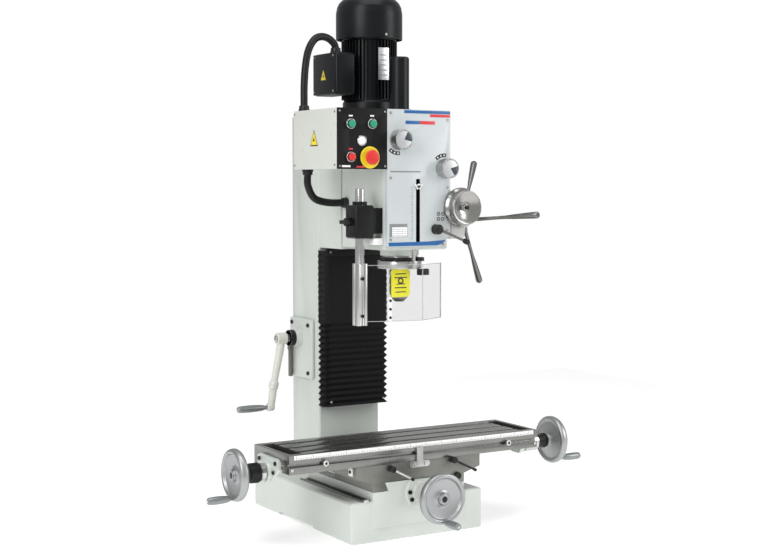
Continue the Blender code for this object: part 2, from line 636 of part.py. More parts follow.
def build_motor():
    """Finned motor, fan cowl, terminal box and the spindle's drawbar cap."""
    body = outline("motor_body", gear_outline(MOTOR_R, 18, 7), "XY", (1200, 1376),
                   "cream_paint")
    body.location.y = MOTOR_Y * MM
    join(body,
         rod("motor_foot", (0, MOTOR_Y, HEAD_TOP + GAP), (0, MOTOR_Y, 1206), 76, sides=24),
         rod("motor_crown", (0, MOTOR_Y, 1370), (0, MOTOR_Y, MOTOR_TOP - GAP), 78, sides=24))
    cut(body,
        rod("motor_bore", (0, MOTOR_Y, 1150), (0, MOTOR_Y, 1420), 14),
        rod("rotor_room", (0, MOTOR_Y, 1195), (0, MOTOR_Y, 1365), 48, sides=24))
    turned("motor_cowl", [
        (0, COWL_TOP), (58, COWL_TOP), (80, COWL_TOP - 8), (91, COWL_TOP - 24),
        (COWL_R, COWL_TOP - 45), (COWL_R, MOTOR_TOP - 14), (COWL_R - 3, MOTOR_TOP - 14),
        (COWL_R - 3, COWL_TOP - 45), (88, COWL_TOP - 26), (78, COWL_TOP - 11),
        (58, COWL_TOP - 4), (0, COWL_TOP - 4)], (0, MOTOR_Y, 0), (0, 0, 1),
        "cream_paint", sides=24)
    box("terminal_box", (-146, -MOTOR_R - 1), (MOTOR_Y - 66, MOTOR_Y + 66), (1218, 1336),
        "cream_paint", bevel=6)
    turned("drawbar_cap", [
        (0, 1320), (24, 1320), (27, 1316), (27, HEAD_TOP + GAP), (24, HEAD_TOP + GAP),
        (24, 1312), (0, 1312)], (0, 0, 0), (0, 0, 1), "cream_paint", sides=24)


def build_controls():
    """Electrical box on the head's left, its plate and push buttons."""
    left, right = -HEAD_HALF - 153, -HEAD_HALF - GAP
    cabinet = box("electrical_box", (left, right), (PANEL_FRONT + 3, HEAD_BACK),
                  (1009, HEAD_TOP), "cream_paint", bevel=3)
    cut(cabinet, box("box_hollow", (left + 3, right - 3), (-150, HEAD_BACK - 3),
                     (1012, HEAD_TOP - 3)))
    plate = box("control_plate", (left, right), (PANEL_FRONT, PANEL_FRONT + 3 - GAP),
                (1009, HEAD_TOP), "black_plastic")
    buttons = (("forward_button", left + 41, 1128, 10, 8, "green_plastic"),
               ("reverse_button", left + 106, 1129, 10, 8, "green_plastic"),
               ("stop_button", left + 41, 1041, 10, 8, "red_plastic"),
               ("emergency_stop_button", left + 99, 1040, 20, 16, "red_plastic"))
    for name, x, z, radius, height, look in buttons:
        cut(plate, rod(name + "_hole", (x, -130, z), (x, -90, z), 8))
        button = turned(name, [
            (0, 5 + height), (radius - 3, 5 + height), (radius, 2 + height), (radius, 5),
            (7, 5), (7, -30), (0, -30)], (x, PANEL_FRONT, z), (0, -1, 0), look, sides=16)
        hinge_at([button], (x, PANEL_FRONT, z), name + "_slide")


def build_conduits():
    """Cable conduits: motor to electrical box, and electrical box to head."""
    over = smooth_route([
        (-118, 150, 1348), (-124, 149, 1362), (-142, 147, 1375), (-166, 144, 1379),
        (-190, 140, 1370), (-212, 134, 1340), (-225, 128, 1296), (-232, 123, 1240),
        (-234, 120, HEAD_TOP + 14)], 4)
    tube("conduit_to_motor", [(-118, 150, 1336 + GAP), *over, (-234, 120, HEAD_TOP + GAP)],
         10.5, "grey_conduit")
    under = smooth_route([
        (-228, 112, 995), (-226, 114, 965), (-204, 118, 930), (-160, 120, 918),
        (-HEAD_HALF - 14, 120, 917)], 5)
    tube("conduit_to_head", [(-228, 112, 1009 - GAP), *under,
                             (-HEAD_HALF - GAP, 120, 917)], 10.5, "grey_conduit")


def build_feed():
    """Worm housing, three-spoke capstan on the pinion shaft, fine-feed knob."""
    housing = box("worm_housing", (HEAD_HALF + GAP, HEAD_HALF + 59), (-97, -17), (818, 950),
                  "cast_grey", bevel=8)
    cut(housing,
        box("housing_hollow", (HEAD_HALF - 6, HEAD_HALF + 49), (-87, -27), (828, 940)),
        rod("housing_bore", (HEAD_HALF + 39, PINION_Y, PINION_Z),
            (HEAD_HALF + 69, PINION_Y, PINION_Z), 9),
        rod("worm_bore", (FINE_X, -110, FINE_Z), (FINE_X, -80, FINE_Z), 8))

    capstan = outline("capstan", gear_outline(PINION_R - GAP, PINION_TEETH, 4), "YZ",
                      (14, 30), "bright_steel")
    capstan.location = Vector((0, PINION_Y, PINION_Z)) * MM
    hub = rod("capstan_hub", (HEAD_HALF + 61, PINION_Y, PINION_Z),
              (HEAD_HALF + 87, PINION_Y, PINION_Z), 21, sides=20)
    shaft = rod("pinion_shaft", (28, PINION_Y, PINION_Z),
                (HEAD_HALF + 69, PINION_Y, PINION_Z), 8)
    join(capstan, shaft, hub)
    for index, angle in enumerate((55, 175, 295)):
        y = math.cos(math.radians(angle))
        z = math.sin(math.radians(angle))
        join(capstan, rod(f"spoke_{index}",
                          (HEAD_HALF + 74, PINION_Y + 6 * y, PINION_Z + 6 * z),
                          (HEAD_HALF + 188, PINION_Y + 200 * y, PINION_Z + 200 * z), 6,
                          sides=12, end_radius=9))
    hinge_at([capstan], (0, PINION_Y, PINION_Z), "capstan_axis")

    knob = turned("fine_feed_knob", [
        (0, 37), (12, 37), (14, 30), (30, 27), (44, 37), (50, 37), (52, 33), (50, 12),
        (55, 7), (55, 0), (7, 0), (7, -22), (0, -22)], (FINE_X, PANEL_FRONT - 2, FINE_Z),
        (0, -1, 0), "bright_steel", sides=22)
    hinge_at([knob], (FINE_X, PANEL_FRONT, FINE_Z), "fine_feed_axis")

    hub = rod("quill_lock_lever", (52, PANEL_FRONT - GAP, 846), (52, -128, 846), 14,
              "black_plastic", sides=16)
    join(hub, rod("quill_lock_bar", (58, -120, 844), (132, -134, 812), 4, sides=10),
         rod("quill_lock_end", (126, -133, 815), (142, -136, 808), 8, sides=12))
    hinge_at([hub], (52, PANEL_FRONT, 846), "quill_lock_axis")


def build_quill():
    """Quill with its rack, clamp collar, spindle and chuck."""
    quill = rod("quill", (0, 0, 736), (0, 0, 1005), QUILL_R, "bright_steel", sides=32)
    pitch = math.tau * PINION_R / PINION_TEETH
    face = PINION_Y + PINION_R
    teeth = []
    for tooth in range(15):
        z = 848 + tooth * pitch
        for share, y in ((0.05, face + 4), (0.3, face), (0.6, face), (0.85, face + 4)):
            teeth.append((y, z + share * pitch))
    rack = outline("quill_rack", [(-20, 848), *teeth, (-20, 848 + 15 * pitch)], "YZ", (14, 30))
    join(quill, rack)
    cut(quill, rod("quill_inside", (0, 0, 700), (0, 0, 1100), 26, sides=24))

    collar = rod("quill_collar", (0, 0, 736), (0, 0, 757), 62, "aluminium", sides=32)
    join(collar,
         rod("collar_ring", (0, 0, 756), (0, 0, 771), 49.5, sides=32),
         box("collar_ear", (50, 74), (-14, 14), (737, 756)),
         box("pointer_foot", (-9, 1), (-85, -45), (737, 752)),
         box("pointer_stem", (-8, 0), (-85, -77), (740, 972)),
         box("pointer_nose", (-8, 0), (-107, -80), (956, 968)))
    cut(collar, rod("collar_bore", (0, 0, 730), (0, 0, 780), QUILL_R + GAP, sides=32))

    turned("spindle", [
        (0, 1244), (SPINDLE_R, 1244), (SPINDLE_R, 1000), (25, 996), (25, 732), (30, 728),
        (30, 716), (9, 716), (9, 690), (0, 690)], (0, 0, 0), (0, 0, 1), "bright_steel",
        sides=24)
    turned("chuck", [
        (9.4, 715.7), (24, 715.7), (27.5, 711), (27.5, 668), (22, 652), (12, 643),
        (5, 643), (5, 684), (9.4, 686)], (0, 0, 0), (0, 0, 1), "cast_grey", sides=24)


def build_guard():
    """Swinging chuck guard: clamp bracket, rod, folded clear shield, wing knob."""
    bracket = box("guard_bracket", (GUARD_X - 29, GUARD_X + 29), (-89, -31), (824, 913),
                  "black_plastic", bevel=4)
    join(bracket, box("guard_foot", (GUARD_X + 25, -HEAD_HALF - GAP), (-80, -34), (836, 905)))
    cut(bracket, rod("rod_bore", (GUARD_X, GUARD_Y, 810), (GUARD_X, GUARD_Y, 930), 12.9,
                     sides=24),
        rod("wing_bore", (GUARD_X - 49, GUARD_Y, 868), (GUARD_X - 9, GUARD_Y, 868), 5.4))
    face = GUARD_X - 29 - GAP
    knob = rod("guard_wing_knob", (face, GUARD_Y, 868), (face - 16, GUARD_Y, 868), 11,
               "black_plastic")
    join(knob, rod("wing_stem", (face - 10, GUARD_Y, 868), (face + 14.5, GUARD_Y, 868), 5,
                   sides=10),
         box("wing_bar", (face - 24, face - 12), (GUARD_Y - 17, GUARD_Y + 17), (863, 873)))
    hinge_at([knob], (face, GUARD_Y, 868), "wing_axis")

    post = rod("guard_rod", (GUARD_X, GUARD_Y, 750), (GUARD_X, GUARD_Y, 958), 12.5,
               "bright_steel", sides=24)
    join(post, box("guard_extrusion", (GUARD_X - 15, GUARD_X + 15),
                   (GUARD_Y - 17, GUARD_Y + 15), (588, 756)))
    line = [(GUARD_X + 15 + GAP, -72), (-90, -94), (5, -114), (96, -66)]
    thickness = 4
    shield = outline("guard_shield",
                     [*line, *[(x, y + thickness + 1) for x, y in reversed(line)]], "XY",
                     (598, 752), "clear_plastic")
    hinge_at([post, shield], (GUARD_X, GUARD_Y, 750), "guard_axis")


def main():
    clear_scene()
    for build in (build_base, build_column, build_bellows, build_y_drive, build_saddle,
                  build_table, build_x_drive, build_z_drive, build_slide, build_head,
                  build_gear_train, build_motor, build_controls, build_conduits,
                  build_feed, build_quill, build_guard):
        build()


main()
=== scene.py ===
# %% [markdown]
# # A benchtop milling machine
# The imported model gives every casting, screw and knob its exact place.  This
# lesson dresses that frame: it softens the castings, turns the round parts
# finely, adds the screws, scales and labels, and paints each piece with a
# node-built finish.  Positions are in millimetres and one constant turns them
# into metres.

import json
import math

import bmesh
import bpy
from mathutils import Matrix, Vector

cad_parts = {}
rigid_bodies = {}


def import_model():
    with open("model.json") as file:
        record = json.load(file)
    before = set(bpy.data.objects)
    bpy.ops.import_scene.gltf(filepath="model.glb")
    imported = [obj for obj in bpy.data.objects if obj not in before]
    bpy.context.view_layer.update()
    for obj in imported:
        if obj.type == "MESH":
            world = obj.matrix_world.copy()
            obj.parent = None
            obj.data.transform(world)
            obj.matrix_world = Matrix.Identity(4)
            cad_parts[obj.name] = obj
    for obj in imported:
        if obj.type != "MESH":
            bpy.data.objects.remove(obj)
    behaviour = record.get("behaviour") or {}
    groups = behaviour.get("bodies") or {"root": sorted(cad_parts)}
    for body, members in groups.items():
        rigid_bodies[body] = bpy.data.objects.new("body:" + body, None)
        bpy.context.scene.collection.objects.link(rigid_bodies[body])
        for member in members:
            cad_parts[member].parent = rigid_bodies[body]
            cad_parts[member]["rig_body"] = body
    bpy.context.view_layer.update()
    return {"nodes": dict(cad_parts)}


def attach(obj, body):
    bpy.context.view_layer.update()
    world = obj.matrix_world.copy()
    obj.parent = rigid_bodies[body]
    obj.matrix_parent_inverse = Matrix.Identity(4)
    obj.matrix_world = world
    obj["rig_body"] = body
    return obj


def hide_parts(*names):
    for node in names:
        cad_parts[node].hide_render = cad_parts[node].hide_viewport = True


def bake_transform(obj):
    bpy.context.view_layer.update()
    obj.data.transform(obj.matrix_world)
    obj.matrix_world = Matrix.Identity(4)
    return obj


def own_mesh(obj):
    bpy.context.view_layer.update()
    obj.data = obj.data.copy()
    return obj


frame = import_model()
MM = 0.001


# %% [markdown]
# ## Camera
# A long lens stands well back on the operator's left, a little above the
# quill, so that uprights stay nearly parallel.  The camera is made first
# because every later choice of detail depends on what it sees.

# %% The camera
LENS, SENSOR = 66.78, 36
CAMERA_AT = Vector((-2092.2, -3435.7, 970.4)) * MM
LOOK_DOWN, TURN_LEFT = 3.61, 30.971
camera_data = bpy.data.cameras.new("camera")
camera_data.lens, camera_data.sensor_width = LENS, SENSOR
camera = bpy.data.objects.new("camera", camera_data)
camera.location = CAMERA_AT
camera.rotation_euler = (math.radians(90 - LOOK_DOWN), 0, math.radians(-TURN_LEFT))
bpy.context.scene.collection.objects.link(camera)
bpy.context.scene.camera = camera
print("lens", camera_data.lens, "mm")

# %% [markdown]
# ## Shader arithmetic
# Finishes need sums such as "noise times a tenth plus a half".  One small
# class wraps a node's output and overloads the operators, so that a finish
# reads as an expression and every operation still becomes a Math node that
# can be inspected in the shader editor.

# %% Wires and finishes
class Wire:
    """One output of a shader tree that can be used in sums."""

    def __init__(self, finish, socket):
        self.finish, self.socket = finish, socket

    def sum(self, operation, *values):
        return self.finish.node("Math", {"operation": operation}, dict(enumerate(values)))

    def __add__(self, other):
        return self.sum("ADD", self, other)

    def __sub__(self, other):
        return self.sum("SUBTRACT", self, other)

    def __rsub__(self, other):
        return self.sum("SUBTRACT", other, self)

    def __mul__(self, other):
        return self.sum("MULTIPLY", self, other)

    __radd__, __rmul__ = __add__, __mul__


class Finish:
    """A material built from a Principled shader and a few nodes."""

    def __init__(self, name, slot, **constants):
        self.material = bpy.data.materials.new(name)
        self.slot = slot
        self.material.use_nodes = True
        self.tree = self.material.node_tree
        self.shader = self.tree.nodes["Principled BSDF"]
        for key, value in constants.items():
            self.shader.inputs[key.replace("_", " ")].default_value = value

    def node(self, kind, settings=None, sockets=None, out=0):
        made = self.tree.nodes.new("ShaderNode" + kind)
        for key, value in (settings or {}).items():
            if key == "stops":
                ends = made.color_ramp.elements
                for index, (position, colour) in enumerate(value):
                    stop = ends[index] if index < 2 else ends.new(position)
                    stop.position, stop.color = position, (*colour, 1)
            else:
                setattr(made, key, value)
        for key, value in (sockets or {}).items():
            if isinstance(value, Wire):
                self.tree.links.new(value.socket, made.inputs[key])
            else:
                made.inputs[key].default_value = value
        return Wire(self, made.outputs[out])

    def place(self, centre, stretch):
        """Object coordinates from a centre in millimetres, stretched."""
        here = self.node("TexCoord", out="Object")
        shift = self.node("VectorMath", {"operation": "SUBTRACT"},
                          {0: here, 1: [c * MM for c in centre]})
        return self.node("VectorMath", {"operation": "MULTIPLY"}, {0: shift, 1: stretch})

    def noise(self, size, detail, stretch=(1, 1, 1)):
        """Noise from 0 to 1 whose blobs are about `size` millimetres."""
        return self.node("TexNoise", None, {"Vector": self.place((0, 0, 0), stretch),
                                            "Scale": 1 / (size * MM), "Detail": detail})

    def mix(self, share, first, second):
        return self.node("Mix", {"data_type": "RGBA"}, {
            0: share, 6: first if isinstance(first, Wire) else (*first, 1),
            7: second if isinstance(second, Wire) else (*second, 1)}, 2)

    def feed(self, **wires):
        """Link wires to the shader's sockets."""
        for key, wire in wires.items():
            self.tree.links.new(wire.socket, self.shader.inputs[key.replace("_", " ")])
        return self

    def bump(self, height, depth, strength=1.0):
        """Height from 0 to 1 raised by `depth` millimetres."""
        return self.feed(Normal=self.node("Bump", None, {
            "Height": height, "Distance": depth * MM, "Strength": strength}))


print("shader arithmetic ready")

# %% [markdown]
# ## Enamel
# Machine enamel is sprayed over filled castings.  It is smooth but never
# flat: a fine orange peel catches the light, the tone drifts slightly over a
# wide panel, and handled areas turn a little glossier.  Three noises of very
# different sizes give that without any image.

# %% Painted finishes
def enamel(name, colour, roughness=0.34, slot="cream_paint", coat=0.25, shine=0.5):
    paint = Finish(name, slot, Coat_Weight=coat, Coat_Roughness=0.18,
                   Specular_IOR_Level=shine)
    drift = paint.noise(140, 1)
    grime = paint.noise(24, 5)
    darker = [c * 0.90 for c in colour]
    grubby = [colour[0] * 0.86, colour[1] * 0.84, colour[2] * 0.79]
    tone = paint.mix(drift, colour, darker)
    spots = ((grime - 0.63) * 4.0).sum("MAXIMUM", (grime - 0.63) * 4.0, 0.0)
    paint.feed(Base_Color=paint.mix(spots * 0.5, tone, grubby),
               Roughness=roughness + (grime - 0.5) * 0.16)
    peel = paint.noise(1.6, 1) * 0.6 + paint.noise(9, 2) * 0.4
    return paint.bump(peel, 0.10, 0.35)


CREAM = (0.66, 0.70, 0.655)
casting_paint = enamel("casting_enamel", CREAM)
cabinet_paint = enamel("cabinet_enamel", (0.675, 0.695, 0.64), 0.3)
motor_paint = enamel("motor_black_enamel", (0.004, 0.005, 0.0065), 0.36, "motor_cream",
                     0.02, 0.24)
bracket_paint = enamel("bracket_black_enamel", (0.005, 0.005, 0.0055), 0.38,
                       "black_plastic", 0.04, 0.25)
arm_paint = enamel("crank_arm_enamel", (0.76, 0.755, 0.70), 0.3)
print("enamels:", casting_paint.material.name, motor_paint.material.name)

# %% [markdown]
# ## Bare metals
# The table is surface ground, so its marks run along its length: noise
# stretched a hundredfold along X.  Handwheels are turned, so their marks are
# rings about their own axle, found from the distance to that axle.  The
# saddle is scraped iron with oil in its pores.

# %% Metal finishes
def ground_iron(name, colour, roughness, slot, along=(0.02, 1, 1)):
    iron = Finish(name, slot, Metallic=0.85)
    marks = iron.noise(1.1, 3, stretch=along)
    oil = iron.noise(60, 4)
    deep = [c * 0.70 for c in colour]
    tone = iron.mix(marks, [c * 0.84 for c in colour], [min(1, c * 1.14) for c in colour])
    iron.feed(Base_Color=iron.mix((oil - 0.35) * 0.9, tone, deep),
              Roughness=roughness + (marks - 0.5) * 0.2 + (oil - 0.5) * 0.16)
    return iron.bump(marks, 0.05, 0.3)


def turned_metal(name, colour, roughness, slot, axle, axis, ring=0.9):
    """Metal with turning marks about an axle through `axle` along `axis`."""
    metal = Finish(name, slot, Metallic=1.0)
    across = [0.0 if i == axis else 1.0 for i in range(3)]
    flat = metal.place(axle, across)
    radius = metal.node("VectorMath", {"operation": "LENGTH"}, {0: flat}, "Value")
    ringed = metal.node("TexNoise", {"noise_dimensions": "1D"}, {
        "W": radius, "Scale": 1 / (ring * MM), "Detail": 3.0})
    smear = metal.noise(14, 3)
    metal.feed(
        Base_Color=metal.mix(ringed, [c * 0.8 for c in colour], colour),
        Roughness=roughness + (ringed - 0.5) * 0.22 + (smear - 0.5) * 0.12)
    return metal.bump(ringed, 0.06, 0.4)


def plain_metal(name, colour, roughness, slot, grain=2.5, metallic=1.0):
    metal = Finish(name, slot, Metallic=metallic)
    fine = metal.noise(grain, 4)
    broad = metal.noise(30, 3)
    metal.feed(Base_Color=metal.mix(broad, [c * 0.78 for c in colour], colour),
               Roughness=roughness + (fine - 0.5) * 0.14 + (broad - 0.5) * 0.1)
    return metal.bump(fine, 0.04, 0.3)


table_iron = ground_iron("ground_table_iron", (0.245, 0.25, 0.236), 0.24, "machined_iron")
saddle_iron = ground_iron("milled_saddle_iron", (0.235, 0.24, 0.215), 0.42, "cast_grey",
                          (1, 1, 0.03))
# Near-black iron laid in the table troughs and the base gutter as painted shade in those
# recesses.
recess_shade_iron = plain_metal("oily_slot_iron", (0.05, 0.05, 0.045), 0.5, "machined_iron",
                        1.5, 0.4)
gear_iron = plain_metal("gear_iron", (0.28, 0.27, 0.25), 0.42, "cast_grey", 1.6)
bright = plain_metal("bright_steel", (0.66, 0.66, 0.64), 0.2, "bright_steel")
chrome = plain_metal("hard_chrome", (0.66, 0.66, 0.66), 0.15, "bright_steel", 3.0)
satin = plain_metal("satin_aluminium", (0.60, 0.60, 0.59), 0.34, "aluminium", 0.8)
spoke_metal = plain_metal("satin_spoke_steel", (0.21, 0.207, 0.198), 0.3,
                          "bright_steel", 0.9)
grip_metal = plain_metal("grey_grip_lacquer", (0.30, 0.32, 0.32), 0.3, "grey_grip",
                         1.2, 0.55)
print("metals:", table_iron.material.name, saddle_iron.material.name)

# %% [markdown]
# ## Plastics, rubber and print
# Moulded knobs have a faint leathery grain, bellows cloth is nearly black
# with dusty folds, and printed labels are thin satin films.  Each gets its
# own small recipe.

# %% Other finishes
def moulded(name, colour, roughness, slot, grain=0.7, depth=0.05, **more):
    plastic = Finish(name, slot, **more)
    pores = plastic.noise(grain, 3)
    wear = plastic.noise(18, 3)
    plastic.feed(Base_Color=plastic.mix(wear, colour, [c * 1.25 + 0.004 for c in colour]),
                 Roughness=roughness + (wear - 0.5) * 0.18)
    return plastic.bump(pores, depth, 0.35)


knob_black = moulded("moulded_black", (0.008, 0.008, 0.0085), 0.36, "black_plastic",
                     Specular_IOR_Level=0.35)
hose_black = moulded("hose_black", (0.005, 0.005, 0.0055), 0.42, "grey_conduit", 1.2,
                     Specular_IOR_Level=0.3)
plate_black = moulded("plate_black", (0.004, 0.004, 0.0045), 0.5, "black_plastic", 0.4,
                      Specular_IOR_Level=0.2)
folded_black = moulded("bellows_black", (0.003, 0.003, 0.0033), 0.62, "black_rubber",
                       0.9, 0.12, Specular_IOR_Level=0.16)
push_green = moulded("push_green", (0.02, 0.27, 0.15), 0.3, "green_plastic")
push_red = moulded("push_red", (0.62, 0.025, 0.02), 0.3, "red_plastic")
ring_yellow = moulded("ring_yellow", (0.78, 0.62, 0.02), 0.4, "red_plastic")
tag_yellow = moulded("tag_yellow", (0.72, 0.68, 0.02), 0.45, "black_plastic")
lamp_white = moulded("lamp_white", (0.86, 0.87, 0.86), 0.22, "clear_plastic")
print_white = moulded("print_white", (0.82, 0.82, 0.81), 0.45, "cream_paint")
print_blue = moulded("print_blue", (0.006, 0.10, 0.30), 0.4, "cream_paint")
print_red = moulded("print_red", (0.62, 0.03, 0.04), 0.4, "cream_paint")
print_slate = moulded("print_slate", (0.035, 0.045, 0.06), 0.35, "cream_paint")
print_grey = moulded("print_grey", (0.20, 0.21, 0.22), 0.45, "cream_paint")
print_black = moulded("print_black", (0.02, 0.02, 0.022), 0.45, "cream_paint")
silver_film = plain_metal("silver_film", (0.72, 0.73, 0.74), 0.3, "cream_paint",
                          0.6, 0.8)
panel_film = enamel("panel_film", (0.60, 0.64, 0.655), 0.3, coat=0.2)
clear = Finish("clear_guard", "clear_plastic", Transmission_Weight=1.0, IOR=1.03,
               Base_Color=(0.97, 0.98, 0.98, 1))
haze = clear.noise(40, 3)
clear.feed(Roughness=0.02 + haze * 0.05, Alpha=0.17 + haze * 0.07)
# Grey, half-opaque finish for the screen's rims and folds: painted shade and reflection standing
# in for how the clear sheet darkens and glints at its edges and bends.
clear_edge_shade = Finish("clear_guard_edge", "clear_plastic", Base_Color=(0.55, 0.57, 0.55, 1))
clear_edge_shade.feed(Roughness=0.2 + clear_edge_shade.noise(8, 2) * 0.1,
                Alpha=0.62 + clear_edge_shade.noise(30, 2) * 0.1)
print("plastics and prints ready")

# %% [markdown]
# ## Ways to make a mesh
# A lathe profile makes anything round, a swept path makes rods, and a prism
# makes plates.  Profiles are filleted first, because a real turned edge is
# never razor sharp and the thin highlight along it is what makes metal look
# like metal.

# %% Mesh helpers
def place(name, mesh, finish, body, nodes=(), sharp=32):
    """Show a finished mesh on a body, standing for CAD nodes if named."""
    mesh.materials.clear()
    mesh.materials.append(finish.material)
    if sharp:
        mesh.shade_smooth()
        mesh.set_sharp_from_angle(angle=math.radians(sharp))
    thing = bpy.data.objects.new(name, mesh)
    bpy.context.scene.collection.objects.link(thing)
    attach(thing, body)
    if nodes:
        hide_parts(*nodes)
    return thing


def show(name, bm, finish, body, nodes=(), sharp=32):
    """Turn millimetre mesh code into a shown piece."""
    bmesh.ops.recalc_face_normals(bm, faces=bm.faces[:])
    mesh = bpy.data.meshes.new(name)
    bm.to_mesh(mesh)
    bm.free()
    mesh.transform(Matrix.Scale(MM, 4))
    return place(name, mesh, finish, body, nodes, sharp)


def fillet(points, radius, steps=3, closed=False):
    """Round the corners of a 2D outline."""
    out, count = [], len(points)
    for i, corner in enumerate(points):
        if not closed and i in (0, count - 1):
            out.append(corner)
            continue
        here, before, after = (Vector(points[j % count]) for j in (i, i - 1, i + 1))
        one, two = before - here, after - here
        reach = min(radius, one.length * 0.45, two.length * 0.45)
        start, end = here + one.normalized() * reach, here + two.normalized() * reach
        for step in range(steps + 1):
            t = step / steps
            out.append(tuple(start * (1 - t) ** 2 + here * 2 * t * (1 - t) + end * t * t))
    return out


def turn(bm, profile, at, axis, steps=64, soft=0.8):
    """Revolve (radius, height) points; open ends must lie on the axis."""
    closed = profile[0][0] > 0
    profile = fillet(profile, soft, closed=closed) if soft else profile
    frame_ = Vector(axis).to_track_quat("Z", "Y").to_matrix().to_4x4()
    frame_.translation = at
    rings = []
    for radius, height in profile:
        spots = [(0, 0)] if radius < 1e-6 else [
            (radius * math.cos(math.tau * i / steps), radius * math.sin(math.tau * i / steps))
            for i in range(steps)]
        rings.append([bm.verts.new(frame_ @ Vector((x, y, height))) for x, y in spots])
    for low, high in zip(rings, rings[1:] + (rings[:1] if closed else [])):
        for i in range(steps):
            j = (i + 1) % steps
            corners = [low[i % len(low)], low[j % len(low)], high[j % len(high)],
                       high[i % len(high)]]
            unique = list(dict.fromkeys(corners))
            if len(unique) > 2:
                bm.faces.new(unique)
    return bm


def block(bm, x, y, z, soft=1.0):
    """A box from its spans with rounded edges."""
    centre = Vector(((x[0] + x[1]) / 2, (y[0] + y[1]) / 2, (z[0] + z[1]) / 2))
    size = Matrix.Diagonal((abs(x[1] - x[0]), abs(y[1] - y[0]), abs(z[1] - z[0]), 1))
    made = bmesh.ops.create_cube(bm, size=1, matrix=Matrix.Translation(centre) @ size)
    edges = list({edge for vertex in made["verts"] for edge in vertex.link_edges})
    bmesh.ops.bevel(bm, geom=edges, offset=soft, segments=3, profile=0.5, affect="EDGES",
                    clamp_overlap=True)
    return bm


def prism(bm, outline, plane, low, high, soft=0.6):
    """Extrude an outline given in XY, XZ or YZ between two depths."""
    def spot(a, b, depth):
        return {"XY": (a, b, depth), "XZ": (a, depth, b), "YZ": (depth, a, b)}[plane]
    base = [bm.verts.new(spot(a, b, low)) for a, b in outline]
    top = [bm.verts.new(spot(a, b, high)) for a, b in outline]
    bm.faces.new(base)
    bm.faces.new(top)
    for i in range(len(outline)):
        j = (i + 1) % len(outline)
        bm.faces.new((base[i], base[j], top[j], top[i]))
    if soft:
        rims = [edge for edge in bm.edges if edge.is_valid and (
            all(v in base for v in edge.verts) or all(v in top for v in edge.verts))]
        bmesh.ops.bevel(bm, geom=rims, offset=soft, segments=2, profile=0.5,
                        affect="EDGES", clamp_overlap=True)
    return bm


def sweep(bm, points, radii, steps=20):
    """A closed round bar along points, one radius at each."""
    points = [Vector(p) for p in points]
    side = Vector((0, 0, 1)) if abs((points[1] - points[0]).normalized().z) < 0.9 \
        else Vector((0, 1, 0))
    rings = []
    for i, (point, radius) in enumerate(zip(points, radii)):
        ahead = (points[min(i + 1, len(points) - 1)] - points[max(i - 1, 0)]).normalized()
        side = (side - ahead * side.dot(ahead)).normalized()
        third = ahead.cross(side)
        rings.append([bm.verts.new(point + (side * math.cos(t) + third * math.sin(t)) * radius)
                      for t in (math.tau * k / steps for k in range(steps))])
    for low, high in zip(rings, rings[1:]):
        for i in range(steps):
            bm.faces.new((low[i], low[(i + 1) % steps], high[(i + 1) % steps], high[i]))
    bm.faces.new(rings[0])
    bm.faces.new(rings[-1])
    return bm


def slab(name, x, y, z, finish, body, soft):
    return show(name, block(bmesh.new(), x, y, z, soft), finish, body)


print("mesh helpers ready")

# %% [markdown]
# ## Growing repeats with Geometry Nodes
# Cap screws, scale ticks, knurls, cooling fins and hose ribs all repeat.  A
# node tree places them from a few named inputs; its evaluated result becomes
# a plain mesh, so that nothing is left live on the finished piece.

# %% The tree builder
class Growth:
    """A Geometry Nodes tree with named inputs."""

    def __init__(self, name, **inputs):
        self.tree = bpy.data.node_groups.new(name, "GeometryNodeTree")
        face = self.tree.interface
        face.new_socket("Geometry", in_out="INPUT", socket_type="NodeSocketGeometry")
        kinds = {float: "Float", int: "Int", tuple: "Vector", type(None): "Material"}
        self.keys = {}
        for key, value in inputs.items():
            socket = face.new_socket(key.replace("_", " "), in_out="INPUT",
                                     socket_type="NodeSocket" + kinds[type(value)])
            if value is not None:
                socket.default_value = value
            self.keys[key] = socket.identifier
        face.new_socket("Geometry", in_out="OUTPUT", socket_type="NodeSocketGeometry")
        self.source = self.tree.nodes.new("NodeGroupInput")

    def given(self, key="Geometry"):
        return self.source.outputs[key.replace("_", " ")]

    def node(self, kind, settings=None, sockets=None, out=0):
        made = self.tree.nodes.new(kind)
        for key, value in (settings or {}).items():
            setattr(made, key, value)
        for key, value in (sockets or {}).items():
            if isinstance(value, bpy.types.NodeSocket):
                self.tree.links.new(value, made.inputs[key])
            else:
                made.inputs[key].default_value = value
        return made.outputs[out]

    def sum(self, operation, *values):
        return self.node("ShaderNodeMath", {"operation": operation}, dict(enumerate(values)))

    def finish(self, geometry):
        """Realize, paint and send out."""
        real = self.node("GeometryNodeRealizeInstances", None, {0: geometry})
        done = self.node("GeometryNodeSetMaterial", None,
                         {"Geometry": real, "Material": self.given("Finish")})
        end = self.tree.nodes.new("NodeGroupOutput")
        self.tree.links.new(done, end.inputs[0])

    def grow(self, mesh, finish, **values):
        """Run the tree over a mesh and return the plain result."""
        carrier = bpy.data.objects.new("carrier", mesh)
        bpy.context.scene.collection.objects.link(carrier)
        modifier = carrier.modifiers.new("growth", "NODES")
        modifier.node_group = self.tree
        modifier[self.keys["Finish"]] = finish.material
        for key, value in values.items():
            modifier[self.keys[key]] = value
        graph = bpy.context.evaluated_depsgraph_get()
        plain = bpy.data.meshes.new_from_object(carrier.evaluated_get(graph),
                                                depsgraph=graph)
        bpy.data.objects.remove(carrier, do_unlink=True)
        return plain


